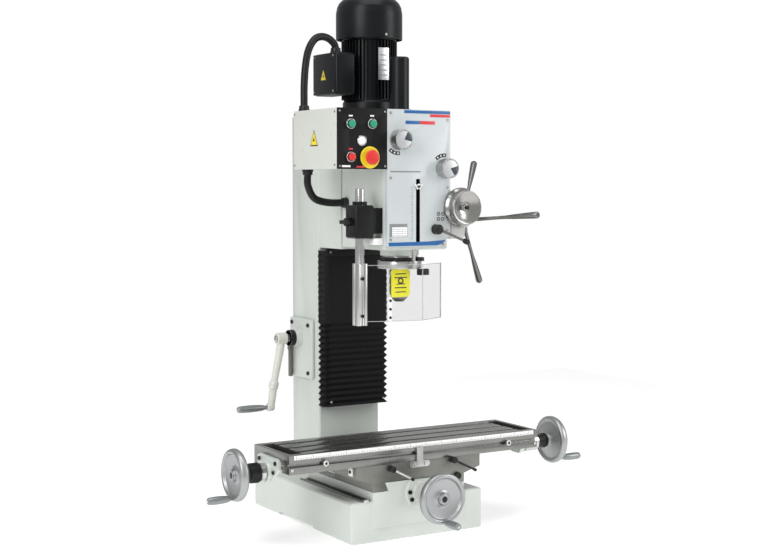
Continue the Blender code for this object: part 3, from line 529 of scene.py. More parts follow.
# %% Cap screws
screws = Growth("cap_screws", Head_Radius=0.005, Head_Height=0.005, Key_Size=0.0028,
                Finish=None)
head = screws.node("GeometryNodeMeshCylinder", None, {
    "Vertices": 20, "Radius": screws.given("Head Radius"),
    "Depth": screws.given("Head Height")})
key = screws.node("GeometryNodeMeshCylinder", None, {
    "Vertices": 6, "Radius": screws.given("Key Size"), "Depth": screws.given("Head Height")})
key = screws.node("GeometryNodeTransform", None, {
    "Geometry": key, "Translation": screws.node("ShaderNodeCombineXYZ", None, {
        2: screws.sum("MULTIPLY", screws.given("Head Height"), 0.5)})})
cut = screws.node("GeometryNodeMeshBoolean", {"operation": "DIFFERENCE"},
                  {"Mesh 1": head, "Mesh 2": key})
facing = screws.node("GeometryNodeInputNamedAttribute", {"data_type": "FLOAT_VECTOR"},
                     {"Name": "facing"})
turned_to = screws.node("FunctionNodeAlignRotationToVector", {"axis": "Z"},
                        {"Vector": facing})
screws.finish(screws.node("GeometryNodeInstanceOnPoints", None, {
    "Points": screws.given(), "Instance": cut, "Rotation": turned_to}))


def cap_screws(name, spots, outward, body, finish, radius=5.0, height=4.0, key_size=2.6):
    """Socket-head screws at spots, all facing one way."""
    mesh = bpy.data.meshes.new(name)
    mesh.from_pydata([Vector(s) * MM for s in spots], [], [])
    attribute = mesh.attributes.new("facing", "FLOAT_VECTOR", "POINT")
    attribute.data.foreach_set("vector", [c for _ in spots for c in outward])
    plain = screws.grow(mesh, finish, Head_Radius=radius * MM, Head_Height=height * MM,
                        Key_Size=key_size * MM)
    return place(name, plain, finish, body)


# %% Rings of bars, for knurls, ticks and fins
ring = Growth("ring_of_bars", Count=36, Radius=0.02, Bar=(0.004, 0.001, 0.01), Every=5,
              Taller=1.0, Finish=None)
circle = ring.node("GeometryNodeMeshCircle", None, {
    "Vertices": ring.given("Count"), "Radius": ring.given("Radius")})
number = ring.node("GeometryNodeInputIndex")
angle = ring.sum("DIVIDE", ring.sum("MULTIPLY", number, math.tau), ring.given("Count"))
marked = ring.sum("LESS_THAN", ring.sum("MODULO", number, ring.given("Every")), 0.5)
growth = ring.sum("ADD", 1.0, ring.sum("MULTIPLY", marked, ring.given("Taller")))
bar = ring.node("GeometryNodeMeshCube", None, {"Size": ring.given("Bar")})
ring.finish(ring.node("GeometryNodeInstanceOnPoints", None, {
    "Points": circle, "Instance": bar,
    "Rotation": ring.node("ShaderNodeCombineXYZ", None, {2: angle}),
    "Scale": ring.node("ShaderNodeCombineXYZ", None, {0: 1.0, 1: 1.0, 2: growth})}))


def bars_round(name, at, axis, body, finish, count, radius, bar_, every=1000, taller=0.0):
    """Bars around an axle: bar_ is radial depth, width and height."""
    plain = ring.grow(bpy.data.meshes.new(name), finish, Count=count, Radius=radius * MM,
                      Bar=[b * MM for b in bar_], Every=every, Taller=taller)
    frame_ = Vector(axis).to_track_quat("Z", "Y").to_matrix().to_4x4()
    frame_.translation = Vector(at) * MM
    plain.transform(frame_)
    return place(name, plain, finish, body)


# %% Rows of ticks
row = Growth("row_of_ticks", Count=10, Pitch=0.005, Bar=(0.0006, 0.0003, 0.003), Every=5,
             Taller=0.6, Finish=None)
line = row.node("GeometryNodeMeshLine", None, {
    "Count": row.given("Count"),
    "Offset": row.node("ShaderNodeCombineXYZ", None, {0: row.given("Pitch")})})
number = row.node("GeometryNodeInputIndex")
marked = row.sum("LESS_THAN", row.sum("MODULO", number, row.given("Every")), 0.5)
growth = row.sum("ADD", 1.0, row.sum("MULTIPLY", marked, row.given("Taller")))
bar = row.node("GeometryNodeMeshCube", None, {"Size": row.given("Bar")})
bar = row.node("GeometryNodeTransform", None, {
    "Geometry": bar, "Translation": row.node("ShaderNodeVectorMath", {
        "operation": "MULTIPLY"}, {0: row.given("Bar"), 1: (0, 0, 0.5)})})
row.finish(row.node("GeometryNodeInstanceOnPoints", None, {
    "Points": line, "Instance": bar,
    "Scale": row.node("ShaderNodeCombineXYZ", None, {0: 1.0, 1: 1.0, 2: growth})}))


def ticks(name, start, along, up, body, finish, count, pitch, bar_, every=5, taller=0.7):
    """Ticks from a start point; `along` is the row and `up` the ticks' length."""
    plain = row.grow(bpy.data.meshes.new(name), finish, Count=count, Pitch=pitch * MM,
                     Bar=[b * MM for b in bar_], Every=every, Taller=taller)
    x, z = Vector(along).normalized(), Vector(up).normalized()
    frame_ = Matrix((x, z.cross(x), z)).transposed().to_4x4()
    frame_.translation = Vector(start) * MM
    plain.transform(frame_)
    return place(name, plain, finish, body)


print("growth trees:", screws.tree.name, ring.tree.name, row.tree.name)

# %% [markdown]
# ## Castings
# The frame's castings are right in shape but every edge is a knife.  Each is
# copied, its loose triangles joined and flattened back into faces, and its
# edges rounded by a bevel whose normals are hardened, so that broad faces stay
# flat and only the edge catches light.

# %% Softened castings
SHARP_FROM = 32


def soften(node, finish, width):
    source = frame["nodes"][node]
    bm = bmesh.new()
    bm.from_mesh(source.data)
    bmesh.ops.remove_doubles(bm, verts=bm.verts[:], dist=3e-6)
    bmesh.ops.dissolve_limit(bm, angle_limit=math.radians(0.8), verts=bm.verts[:],
                             edges=bm.edges[:])
    mesh = bpy.data.meshes.new(node + "_soft")
    bm.to_mesh(mesh)
    bm.free()
    mesh.shade_smooth()
    carrier = bpy.data.objects.new("carrier", mesh)
    bpy.context.scene.collection.objects.link(carrier)
    bevel = carrier.modifiers.new("edges", "BEVEL")
    bevel.width, bevel.segments = width * MM, 3
    bevel.limit_method, bevel.angle_limit = "ANGLE", math.radians(SHARP_FROM)
    bevel.harden_normals = True
    bevel.use_clamp_overlap = True
    graph = bpy.context.evaluated_depsgraph_get()
    plain = bpy.data.meshes.new_from_object(carrier.evaluated_get(graph), depsgraph=graph)
    bpy.data.objects.remove(carrier, do_unlink=True)
    return place(node + "_soft", plain, finish, source["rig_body"], (node,), None)


for node, finish, width in (
        ("base_casting", casting_paint, 3.0), ("column", casting_paint, 2.5),
        ("z_slide", casting_paint, 2.5), ("head_casting", casting_paint, 1.8),
        ("front_panel", panel_film, 0.8), ("electrical_box", cabinet_paint, 1.8),
        ("crank_gear_plate", casting_paint, 1.6), ("left_screw_bracket", casting_paint, 1.6),
        ("right_screw_bracket", casting_paint, 1.6), ("saddle", saddle_iron, 1.0),
        ("table", table_iron, 0.7), ("terminal_box", motor_paint, 3.0),
        ("control_plate", plate_black, 0.6), ("guard_bracket", bracket_paint, 2.0),
        ("table_stop_bracket", satin, 0.7)):
    piece = soften(node, finish, width)
    print(piece.name, len(piece.data.polygons), "faces")

# %% [markdown]
# ## Repainted plain pieces
# Some frame pieces already have the right shape and only need a finish: gears
# inside the head, the small clamps and the bores.

# %% Finishes on frame pieces
for node, finish in (
        ("drive_sleeve", gear_iron), ("idler_gear", gear_iron), ("motor_rotor", gear_iron),
        ("z_screw", bright), ("crank_shaft", bright), ("quill", chrome),
        ("spindle", bright), ("z_lock_lever", gear_iron), ("y_screw_bracket", casting_paint),
        ("guard_wing_knob", knob_black)):
    for slot_ in frame["nodes"][node].material_slots:
        slot_.material = finish.material
    print(node, "->", finish.material.name)

# %% [markdown]
# ## Handwheels
# A handwheel is a casting with a rolled rim, a dished web and a boss, turned
# all over.  One lathe profile with filleted corners makes it, and the finish
# draws its rings around the same axle, so wheel and marks agree.

# %% Three handwheels
WHEEL = [(8.2, 13), (15.5, 13), (17, 5), (26, 1.5), (54, 6.5), (57, 13), (62, 15.5),
         (67, 13.5), (70, 7), (70, -2), (66, -7.5), (60, -7.5), (55, -3), (27, -12),
         (19, -16), (18, -26), (8.2, -26)]


def handwheel(name, at, axis, body, turning):
    metal = turned_metal(name + "_metal", (0.46, 0.47, 0.475), 0.4, "aluminium", at, turning)
    wheel = show(name + "_turned", turn(bmesh.new(), WHEEL, at, axis, 96, 2.2), metal, body,
                 (name,), 50)
    hub = turn(bmesh.new(), [(0, 14.6), (6, 14.6), (8.4, 13.6), (8.4, 10), (0, 10)], at, axis,
               32, 0.5)
    show(name + "_nut", hub, knob_black, body)
    washer = turn(bmesh.new(), [(8.6, 15), (13.2, 15), (13.2, 12.8), (8.6, 12.8)], at, axis,
                  40, 0.4)
    show(name + "_washer", washer, metal, body)
    print(wheel.name, len(wheel.data.polygons), "faces")


handwheel("y_handwheel", (0, -220, 128), (0, -1, 0), "y_drive", 1)
handwheel("left_handwheel", (-502, 0, 206), (-1, 0, 0), "x_drive", 0)
handwheel("right_handwheel", (530, 0, 206), (1, 0, 0), "x_drive", 0)

# %% [markdown]
# ## Revolving grips
# Each crank has a barrel grip that spins on a pin: a waisted neck, a swelling
# body and a small flat end with a screw.

# %% Grips
def grip(name, at, axis, body, length, nodes):
    share = length / 68
    profile = [(0, 68), (6.2, 68), (9.2, 65.5), (10.3, 58), (10.9, 42), (10.4, 26), (9, 12),
               (7.6, 8.5), (7.6, 6.4), (6, 5.2), (6, 0.4), (0, 0.4)]
    profile = [(r, h * share) for r, h in profile]
    show(name + "_barrel", turn(bmesh.new(), profile, at, axis, 40, 1.6), grip_metal, body,
         nodes, 45)
    base = Vector(at) + Vector(axis) * (length - 0.6)
    pin = turn(bmesh.new(), [(0, 1.0), (3.2, 1.0), (3.6, 0.4), (3.6, -1), (0, -1)], base, axis,
               24, 0.2)
    show(name + "_pin_end", pin, bright, body)


grip("y_grip", (0, -235, 66.4), (0, -1, 0), "y_grip", 68, ("y_handwheel_grip",))
grip("left_grip", (-517, 0, 144.4), (-1, 0, 0), "left_grip", 68, ("left_handwheel_grip",))
grip("right_grip", (545, -35, 155.6), (1, 0, 0), "right_grip", 68,
     ("right_handwheel_grip",))
grip("crank_grip", (-222, 387, 311), (-1, 0, 0), "crank_grip", 96, ("crank_grip",))
print("four grips")

# %% [markdown]
# ## Screws, dials and clutches
# Behind each wheel sits a graduated ring, and the left one has a knurled black
# nut as well.  The ring is turned smooth and its ticks are grown around it;
# the knurl is a ring of small bars half sunk in the nut.

# %% The table screw
shaft = [(0, 542), (7.4, 542), (7.4, 503), (18, 503), (18, 472), (26.4, 469), (26.4, 425),
         (10, 424)]
for tooth in range(96):
    x = 380 - tooth * 8
    shaft += [(10, x + 3), (8.2, x + 1.8), (8.2, x - 1.8), (10, x - 3)]
shaft += [(10, -424), (24, -424.3), (24, -436.7), (7.4, -437), (7.4, -514), (0, -514)]
show("x_screw_threaded", turn(bmesh.new(), shaft, (0, 0, 206), (1, 0, 0), 28, 0), bright,
     "x_drive", ("x_screw",), 30)
nut = turn(bmesh.new(), [(8, -437.3), (24, -437.3), (26, -440), (26, -465), (24, -468),
                         (8, -468)], (0, 0, 206), (1, 0, 0), 48, 0.8)
show("left_dial_nut", nut, knob_black, "x_drive", ("left_dial",))
bars_round("left_dial_knurl", (-452, 0, 206), (1, 0, 0), "x_drive", knob_black, 40, 26,
           (1.9, 1.5, 22))
bars_round("left_dial_ticks", (-435.6, 0, 206), (-1, 0, 0), "x_drive", print_black, 80, 24.05,
           (0.25, 0.4, 2.2), 10, 1.2)
clutch = turn(bmesh.new(), [(7.6, 510), (19, 510), (21, 507), (21, 497), (18.6, 495),
                            (18.6, 476), (7.6, 476)], (0, 0, 206), (1, 0, 0), 48, 0.8)
show("right_clutch", clutch, knob_black, "x_drive")
bars_round("right_clutch_knurl", (501, 0, 206), (1, 0, 0), "x_drive", knob_black, 32, 21,
           (1.2, 1.6, 8))

# %% The cross screw
shaft = turn(bmesh.new(), [(0, 12), (7.4, 12), (7.4, -28), (10, -29), (10, -460), (0, -460)],
             (0, -220, 128), (0, -1, 0), 32, 0.6)
show("y_screw_bar", shaft, bright, "y_drive", ("y_screw",))
dial = turn(bmesh.new(), [(10.2, -27), (23.5, -27), (26.5, -31), (26.5, -60), (24, -62),
                          (10.2, -62)], (0, -220, 128), (0, -1, 0), 64, 0.7)
show("y_dial", dial, satin, "y_drive")
bars_round("y_dial_ticks", (0, -167, 128), (0, 1, 0), "y_drive", print_black, 80, 26.55,
           (0.25, 0.45, 3), 10, 0.9)
bars_round("y_dial_knurl", (0, -184, 128), (0, 1, 0), "y_drive", satin, 48, 26.2,
           (1.1, 1.1, 8))
cap_screws("y_bracket_screws", [(-37, -117.6, 130), (-31, -117.6, 109), (37, -117.6, 130),
                                (31, -117.6, 109)], (0, -1, 0), "base", knob_black, 6, 5, 3)
cap_screws("left_bracket_screws", [(-410.6, y, z) for y, z in (
    (-45, 234), (50, 234), (-34, 208), (38, 212))], (-1, 0, 0), "table", knob_black, 5.5, 5, 2.8)
cap_screws("right_bracket_screws", [(410.6, y, z) for y, z in (
    (-45, 234), (50, 234), (-34, 208), (38, 212))], (1, 0, 0), "table", knob_black, 5.5, 5, 2.8)

# %% [markdown]
# ## Table furniture
# A white scale strip runs along the table's front edge.  Its ticks are a row
# grown by nodes, every tenth one taller.  Two travel stops slide in the groove
# below, and the near-black linings in the coolant troughs at the ends are
# painted shade in their depth.

# %% Scale, stops and troughs
slab("scale_strip", (-386, 386), (-108.2, -107.1), (250.5, 262), print_white, "table", 0.3)
ticks("scale_ticks", (-380, -108.35, 251.2), (1, 0, 0), (0, 0, 1), "table", print_black, 153,
      5, (0.9, 0.3, 4.2), 10, 1.2)
for side, body in ((-1, "dog_left"), (1, "dog_right")):
    name = "stop_dog_" + ("left" if side < 0 else "right")
    knob = turn(bmesh.new(), [(0, 7), (3.6, 7), (3.6, 9.5), (7.2, 9.5), (8.3, 8.3), (8.3, 0.4),
                              (3.5, 0.4), (3.5, -8), (0, -8)], (side * 295, -107, 235),
                (0, -1, 0), 40, 0.4)
    show(name + "_turned", knob, bright, body, (name,))
    socket = turn(bmesh.new(), [(0, 8.4), (3.4, 8.4), (3.4, 7.1), (0, 7.1)],
                  (side * 295, -107, 235), (0, -1, 0), 24, 0.2)
    show(name + "_socket", socket, knob_black, body)
    low_x, high_x = sorted((side * 352.6, side * 387.4))
    # The near-black floor, wall linings and strainer inside each trough are painted shade in the
    # trough's depth.
    slab(f"trough_paint_{name[9:]}", (low_x, high_x), (-87.4, 83.4), (241.1, 242.4),
         recess_shade_iron, "table", 0.3)
    bm = bmesh.new()
    for wall in (low_x - 0.5, high_x):
        block(bm, (wall, wall + 0.5), (-87.4, 83.4), (242.6, 261.4), 0.1)
    show(f"trough_walls_{name[9:]}", bm, recess_shade_iron, "table")
    bm = bmesh.new()
    for spread in (-60, 0, 60):
        block(bm, (low_x + 4, high_x - 4), (spread - 21, spread + 21), (242.3, 243.6), 0.5)
    show(f"trough_strainer_{name[9:]}", bm, recess_shade_iron, "table")
cap_screws("table_end_screws", [(x, -108, 224) for x in (-392, 392)], (0, -1, 0), "table",
           bright, 4, 1.6, 2)
print("table furniture ready")

# %% [markdown]
# ## Saddle furniture
# Two clamp levers, a two-screw stop bracket and a gib screw stand on the
# saddle's front.  Each clamp is a black hub with a thin chromed rod and a
# black tip.

# %% Saddle clamps
def clamp(name, hub, tip, body, rod_finish):
    bm = turn(bmesh.new(), [(0, 24), (6.5, 24), (9, 21.5), (9, 13), (7.6, 11), (7.6, 6),
                            (9, 4), (9, 0.4), (0, 0.4)], hub, (0, -1, 0), 40, 0.9)
    hub_piece = show(name + "_hub", bm, knob_black, body, (name,))
    start = Vector(hub) + Vector((0, -16, 0))
    along = Vector(tip) - start
    spots = [start + along * t for t in (0, 0.06, 0.5, 0.86, 0.862)]
    show(name + "_rod", sweep(bmesh.new(), spots, (3.3, 3.3, 3.0, 3.0, 2.6), 20), rod_finish,
         body)
    spots = [start + along * t for t in (0.84, 0.86, 0.9, 0.97, 1.0, 1.015)]
    show(name + "_tip", sweep(bmesh.new(), spots, (2.4, 3.6, 4.3, 4.5, 3.9, 2.0), 20),
         knob_black, body)
    return hub_piece


clamp("saddle_lock_lever_left", (-95, -107, 200), (-38, -140, 168), "saddle_lock_left", chrome)
clamp("saddle_lock_lever_right", (104, -107, 206), (166, -140, 174), "saddle_lock_right",
      knob_black)
cap_screws("stop_bracket_screws", [(-23, -115.6, 204), (17, -115.6, 204)], (0, -1, 0), "saddle",
           bright, 5, 3, 2.4)
gib = turn(bmesh.new(), [(0, 7), (4, 7), (4, 9), (8.5, 9), (10, 7.5), (10, 0), (0, 0)],
           (124, -107, 158), (0, -1, 0), 32, 0.5)
show("saddle_gib_screw", gib, knob_black, "saddle")
slab("saddle_side_bracket", (-204.5, -200.1), (-92, -72), (186, 208), print_white, "saddle",
     0.8)
cap_screws("saddle_side_screw", [(-205.4, -82, 197)], (-1, 0, 0), "saddle", knob_black, 4.5,
           2.4, 2.2)

# %% [markdown]
# ## Way covers
# A bellows is one sheet folded to and fro.  In nodes that is a curve swept
# along a line whose radius alternates from one point to the next; the outline
# is the mesh the tree is given, so the same tree makes the tall cover on the
# column and the low one behind the saddle.

# %% The bellows tree
bellows = Growth("bellows", Length=0.2, Folds=10, Fold_Depth=0.08, Smooth_From=2.0,
                 Finish=None)
outline = bellows.node("GeometryNodeMeshToCurve", None, {0: bellows.given()})
spine = bellows.node("GeometryNodeCurvePrimitiveLine", None, {
    "End": bellows.node("ShaderNodeCombineXYZ", None, {2: bellows.given("Length")})})
spine = bellows.node("GeometryNodeResampleCurve", {"mode": "COUNT"}, {
    "Curve": spine, "Count": bellows.sum("ADD", bellows.sum(
        "MULTIPLY", bellows.given("Folds"), 2.0), 1.0)})
number = bellows.node("GeometryNodeInputIndex")
share = bellows.node("GeometryNodeSplineParameter", out="Factor")
inward = bellows.sum("MODULO", number, 2.0)
smooth = bellows.sum("GREATER_THAN", share, bellows.given("Smooth From"))
depth = bellows.sum("MULTIPLY", bellows.given("Fold Depth"), bellows.sum(
    "SUBTRACT", 1.0, bellows.sum("MULTIPLY", smooth, 0.78)))
radius = bellows.sum("SUBTRACT", 1.0, bellows.sum("MULTIPLY", inward, depth))
skin = bellows.node("GeometryNodeCurveToMesh", None, {
    "Curve": spine, "Profile Curve": outline, "Scale": radius, "Fill Caps": True})
bellows.finish(skin)


def folded(name, outline_, length, folds, fold_depth, smooth_from, turn_to):
    """Bellows swept up from the outline, then turned into place."""
    mesh = bpy.data.meshes.new(name)
    mesh.from_pydata([Vector((x, y, 0)) * MM for x, y in outline_],
                     [(i, (i + 1) % len(outline_)) for i in range(len(outline_))], [])
    plain = bellows.grow(mesh, folded_black, Length=length * MM, Folds=folds,
                         Fold_Depth=fold_depth, Smooth_From=smooth_from)
    plain.transform(turn_to)
    bm = bmesh.new()
    bm.from_mesh(plain)
    bmesh.ops.recalc_face_normals(bm, faces=bm.faces[:])
    bm.to_mesh(plain)
    bm.free()
    return plain


def channel(half, depth, wall, corner=8):
    """A U-shaped band, open at the back, centred on its open side."""
    outer = [(-half, 0), (-half, -depth + corner), (-half + corner, -depth),
             (half - corner, -depth), (half, -depth + corner), (half, 0)]
    inner = [(x * (1 - wall / half), y * (1 - wall / depth)) for x, y in reversed(outer)]
    return outer + inner


# %% The column cover
turn_to = Matrix.Translation(Vector((0, 283.2, 322)) * MM)
cover = folded("z_cover", channel(105.5, 49, 3.5), 455, 26, 0.085, 0.52, turn_to)
cover = place("z_bellows_folded", cover, folded_black, "base", ("z_bellows",), 20)
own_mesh(cover)
print(cover.name, len(cover.data.polygons), "faces")
bm = block(bmesh.new(), (-100, 100), (262, 283.5), (318, 333), 1)
show("z_bellows_foot", bm, plate_black, "base")
bm = block(bmesh.new(), (-104, 104), (233, 237), (762, 784), 1)
show("z_bellows_head", bm, plate_black, "head_slide")
cap_screws("bellows_foot_screws", [(-88, 236, 336), (88, 236, 336)], (0, -1, 0), "base", bright,
           3.2, 2.2, 1.6)
cap_screws("bellows_head_screws", [(-92, 231.8, 773), (92, 231.8, 773)], (0, -1, 0),
           "head_slide", bright, 3.6, 2.4, 1.8)

# %% The cover behind the saddle
turn_to = Matrix.Translation(Vector((0, 283, 164)) * MM) @ Matrix.Rotation(
    math.radians(90), 4, "X")
rear = folded("saddle_cover", [(x, -y) for x, y in channel(108, 38, 3.5)], 175, 16, 0.09, 2.0,
              turn_to)
rear = bpy.data.objects.new("saddle_cover", rear)
rear.data.materials.clear()
rear.data.materials.append(folded_black.material)
rear.data.shade_smooth()
rear.data.set_sharp_from_angle(angle=math.radians(20))
bpy.context.scene.collection.objects.link(rear)
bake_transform(rear)
print(rear.name, len(rear.data.polygons), "faces")

# %% [markdown]
# ## Column crank
# The head is raised by a cranked arm on a bolted gear plate.  The arm is swept
# in two tapering lengths that meet at a knuckle, and a black dial stands
# behind its boss.

# %% Crank arm, plate bolts and dial
bm = turn(bmesh.new(), [(10.5, 0), (16, 0), (17, 1.5), (17, 30), (15.5, 32), (10.5, 32)],
          (-158, 387, 513), (-1, 0, 0), 48, 1.2)
sweep(bm, [(-172, 387, 509), (-176, 387, 490), (-186, 387, 440), (-197, 387, 388)],
      (9, 12, 11, 10), 28)
turn(bm, [(0, 15), (11, 14), (14.3, 9), (14.6, 0), (14.3, -9), (11, -14), (0, -15)],
     (-199.5, 387, 375), (0.26, 0, 0.97), 36, 3)
sweep(bm, [(-200.5, 387, 366), (-205, 387, 335), (-209, 387, 314), (-210.5, 387, 305),
           (-210.9, 387, 301)], (11.5, 11, 11.3, 10, 6), 28)
sweep(bm, [(-199, 387, 311), (-203, 387, 311), (-219, 387, 311), (-222, 387, 311)],
      (8, 12, 12, 10.5), 28)
show("crank_arm_cast", bm, arm_paint, "crank", ("crank_arm",), 45)
bm = turn(bmesh.new(), [(10.3, 0), (23.6, 0), (24.4, 1.4), (24.4, 14.6), (23.6, 16),
                        (10.3, 16)], (-134, 387, 513), (-1, 0, 0), 48, 0.6)
show("crank_dial", bm, knob_black, "crank")
bm = turn(bmesh.new(), [(0, 4), (6, 4), (9.4, 2.6), (9.6, 0), (0, 0)], (-190.2, 387, 513),
          (-1, 0, 0), 32, 0.6)
show("crank_nut", bm, bright, "crank")
cap_screws("gear_plate_screws", [(-113.6, y, z) for y, z in (
    (333, 553), (333, 411), (436, 556), (436, 408))], (-1, 0, 0), "base", knob_black, 6, 4.5, 3)
print("crank ready")

# %% [markdown]
# ## Ground ways
# The painted base carries a dovetail whose top is ground bright, with a
# machined ledge on each side.  A skin a tenth of a millimetre proud of the
# casting shows it, thin enough for the saddle to pass over.

# %% Bright faces on the base
slab("cross_way_top", (-109.2, 109.2), (-106.6, 269), (162, 163.12), table_iron, "base", 0.1)
for name, x in (("left", (-146.4, -112)), ("right", (112, 146.4))):
    slab(f"cross_way_ledge_{name}", x, (-106.6, 269), (138, 139.12), table_iron, "base", 0.1)
# The near-black gutter floor between the bright ribs is painted shade.
slab("gutter_floor", (-174, -154), (-96, 262), (112, 114.3), recess_shade_iron, "base", 0.1)
for name, x in (("outer", (-178, -174)), ("inner", (-154, -150))):
    slab(f"gutter_rib_{name}", x, (-98, 262), (112, 118.5), table_iron, "base", 0.6)
slab("gutter_end", (-172, -156), (-100.5, -93), (112, 120), bright, "base", 1.2)
print("ways ready")

# %% [markdown]
# ## Front panel
# The head's front is a brushed film over a steel plate with a slot for the
# depth pointer.  Printed bands, a feed chart and a depth scale lie on it as
# films a third of a millimetre thick; their wording is left plain.

# %% Panel films, depth slot and scale
FRONT = -104
# The black backing behind the depth slot and the black linings on its walls are painted shade
# inside the slot.
slab("depth_slot_back", (-16, 8), (-76, -75), (806, 990), plate_black, "head", 0.2)
for name, x in (("left", (-9.95, -9.3)), ("right", (1.3, 1.95))):
    slab(f"depth_slot_{name}", x, (-104.2, -77), (812.3, 982.7), plate_black, "head", 0.1)
prism_bm = prism(bmesh.new(), [(-97, 802), (60, 802), (74, 806), (86, 816), (30, 813),
                               (-97, 812)], "XZ", FRONT - 0.6, FRONT - 0.1, 0.1)
show("panel_band_low", prism_bm, print_blue, "head")
slab("panel_band_high", (-48, 99), (FRONT - 0.5, FRONT - 0.1), (1160, 1168), print_blue,
     "head", 0.1)
slab("panel_band_red", (34, 99), (FRONT - 0.5, FRONT - 0.1), (1151, 1158.5), print_red,
     "head", 0.1)
slab("panel_bar_blue", (-44, 2), (FRONT - 0.5, FRONT - 0.1), (1131, 1140), print_blue, "head",
     0.1)
slab("panel_bar_red", (2.5, 50), (FRONT - 0.5, FRONT - 0.1), (1131, 1140), print_red, "head",
     0.1)
slab("feed_chart_edge", (-94, -38), (FRONT - 0.45, FRONT - 0.1), (827, 862), print_grey,
     "head", 0.1)
slab("feed_chart", (-86, -39.2), (FRONT - 0.75, FRONT - 0.3), (828.2, 853), print_white,
     "head", 0.1)
for i in range(4):
    ticks(f"feed_chart_row_{i}", (-83, FRONT - 0.85, 830.4 + 5.6 * i), (1, 0, 0), (0, 0, 1),
          "head", print_grey, 9, 4.9, (3.2, 0.2, 1.5), 3, 0.25)
ticks("depth_scale", (-20, FRONT - 0.25, 822), (0, 0, 1), (-1, 0, 0), "head", print_black, 31,
      4.6, (0.7, 0.3, 4), 5, 0.8)
slab("panel_title", (-92, 4), (FRONT - 0.4, FRONT - 0.1), (1001, 1004.5), print_grey, "head",
     0.1)
cap_screws("panel_screws", [(x, FRONT - 0.8, z) for x, z in (
    (-91, 1160), (91, 1144), (-91, 986), (-91, 820), (91, 842), (91, 960))], (0, -1, 0),
    "head", bright, 3.6, 1.6, 1.7)
for i, (x, z) in enumerate(((62, 874), (76, 874), (62, 888), (76, 888))):
    bm = turn(bmesh.new(), [(3.1, 0.1), (5.2, 0.1), (5.2, 0.5), (3.1, 0.5)],
              (x, FRONT, z), (0, -1, 0), 28, 0)
    show(f"clamp_symbol_{i}", bm, print_black, "head")
print("panel films ready")

# %% [markdown]
# ## Speed knobs
# Two round knobs choose the gears.  A bright turned skirt carries a white
# face with one dark wedge for a pointer, and a black arc of plain marks shows
# its three positions.

# %% Knobs and their arcs
def speed_knob(name, x, z, body, wedge_angle, arc_from):
    at, axis = (x, FRONT, z), (0, -1, 0)
    metal = turned_metal(name + "_metal", (0.52, 0.52, 0.52), 0.34, "black_plastic", at, 1)
    bm = turn(bmesh.new(), [(0, 33), (23.8, 33), (24.6, 35.2), (26, 35.4), (26.9, 33.6),
                            (26.2, 15), (26.9, 11), (26.9, 2), (26, 0.4), (8, 0.4),
                            (8, -30), (0, -30)], at, axis, 72, 0.7)
    show(name + "_skirt", bm, metal, body, (name,), 45)
    bm = turn(bmesh.new(), [(0, 34), (23, 34), (23.6, 33.4), (23.6, 32), (0, 32)], at, axis, 64,
              0.3)
    show(name + "_face", bm, silver_film, body)
    a = math.radians(wedge_angle)
    points = [(0, 0)] + [(22.6 * math.sin(a + s), 22.6 * math.cos(a + s))
                         for s in (-0.66, -0.44, -0.22, 0, 0.22, 0.44, 0.66)]
    bm = prism(bmesh.new(), [(x + u, z + v) for u, v in points], "XZ", FRONT - 34.6,
               FRONT - 33.9, 0.1)
    show(name + "_wedge", bm, print_slate, body)
    outer = [(x + 41 * math.cos(t), z + 41 * math.sin(t)) for t in
             (math.radians(arc_from + 5 * i) for i in range(12))]
    inner = [(x + 31 * math.cos(t), z + 31 * math.sin(t)) for t in
             (math.radians(arc_from + 5 * i) for i in reversed(range(12)))]
    show(name + "_arc", prism(bmesh.new(), outer + inner, "XZ", FRONT - 0.45, FRONT - 0.1,
                              0.1), print_black, "head")
    marks = []
    for i in range(3):
        t = math.radians(arc_from + 10 + 17.5 * i)
        marks.append((x + 36 * math.cos(t), FRONT - 0.6, z + 36 * math.sin(t)))
    bm = bmesh.new()
    for mark in marks:
        turn(bm, [(0, 0.3), (2.2, 0.3), (2.2, 0), (0, 0)], mark, axis, 16, 0)
    show(name + "_marks", bm, print_white, "head")


speed_knob("speed_knob_upper", -68, 1088, "upper_knob", 65, 225)
speed_knob("speed_knob_lower", 80, 1012, "lower_knob", 110, 80)
print("speed knobs ready")

# %% [markdown]
# ## Switches
# The black switch plate holds two green and one red push button in bright
# bezels, a white lamp, and a mushroom stop button on a yellow ring.  Each is a
# lathe profile, because even a small button has a bezel, a gap and a crown.

# %% Buttons, lamp and stop button
for name, x, z, finish, body in (
        ("forward_button", -213, 1128, push_green, "forward_button"),
        ("reverse_button", -148, 1129, push_green, "reverse_button"),
        ("stop_button", -213, 1041, push_red, "stop_button")):
    bm = turn(bmesh.new(), [(0, 13), (7.6, 13), (9.6, 11.6), (10, 9.5), (10, 5), (7, 5),
                            (7, -30), (0, -30)], (x, FRONT, z), (0, -1, 0), 48, 0.9)
    show(name + "_cap", bm, finish, body, (name,), 40)
    bm = turn(bmesh.new(), [(10.6, 0.1), (14.2, 0.1), (14.2, 2.2), (13.2, 3.8), (10.9, 3.8),
                            (10.6, 3)], (x, FRONT, z), (0, -1, 0), 48, 0.4)
    show(name + "_bezel", bm, chrome, "head")
    slab(name + "_label", (x - 6, x + 6), (FRONT - 0.5, FRONT - 0.1), (z + 19, z + 23),
         print_white if finish is push_green else print_red, "head", 0.1)
bm = turn(bmesh.new(), [(0, 21), (14, 20.6), (18.6, 18.6), (20, 15.5), (19.4, 12),
                        (14, 8), (9, 6), (7, 5), (7, -30), (0, -30)], (-155, FRONT, 1040),
          (0, -1, 0), 64, 1.4)
show("emergency_stop_cap", bm, push_red, "emergency_stop", ("emergency_stop_button",), 50)
bm = turn(bmesh.new(), [(10.5, 0.1), (29, 0.1), (29.4, 1.2), (28.6, 2.2), (26, 2.6),
                        (24, 1.9), (10.5, 1.6)], (-155, FRONT, 1040), (0, -1, 0), 72, 0.4)
show("emergency_stop_ring", bm, ring_yellow, "head")
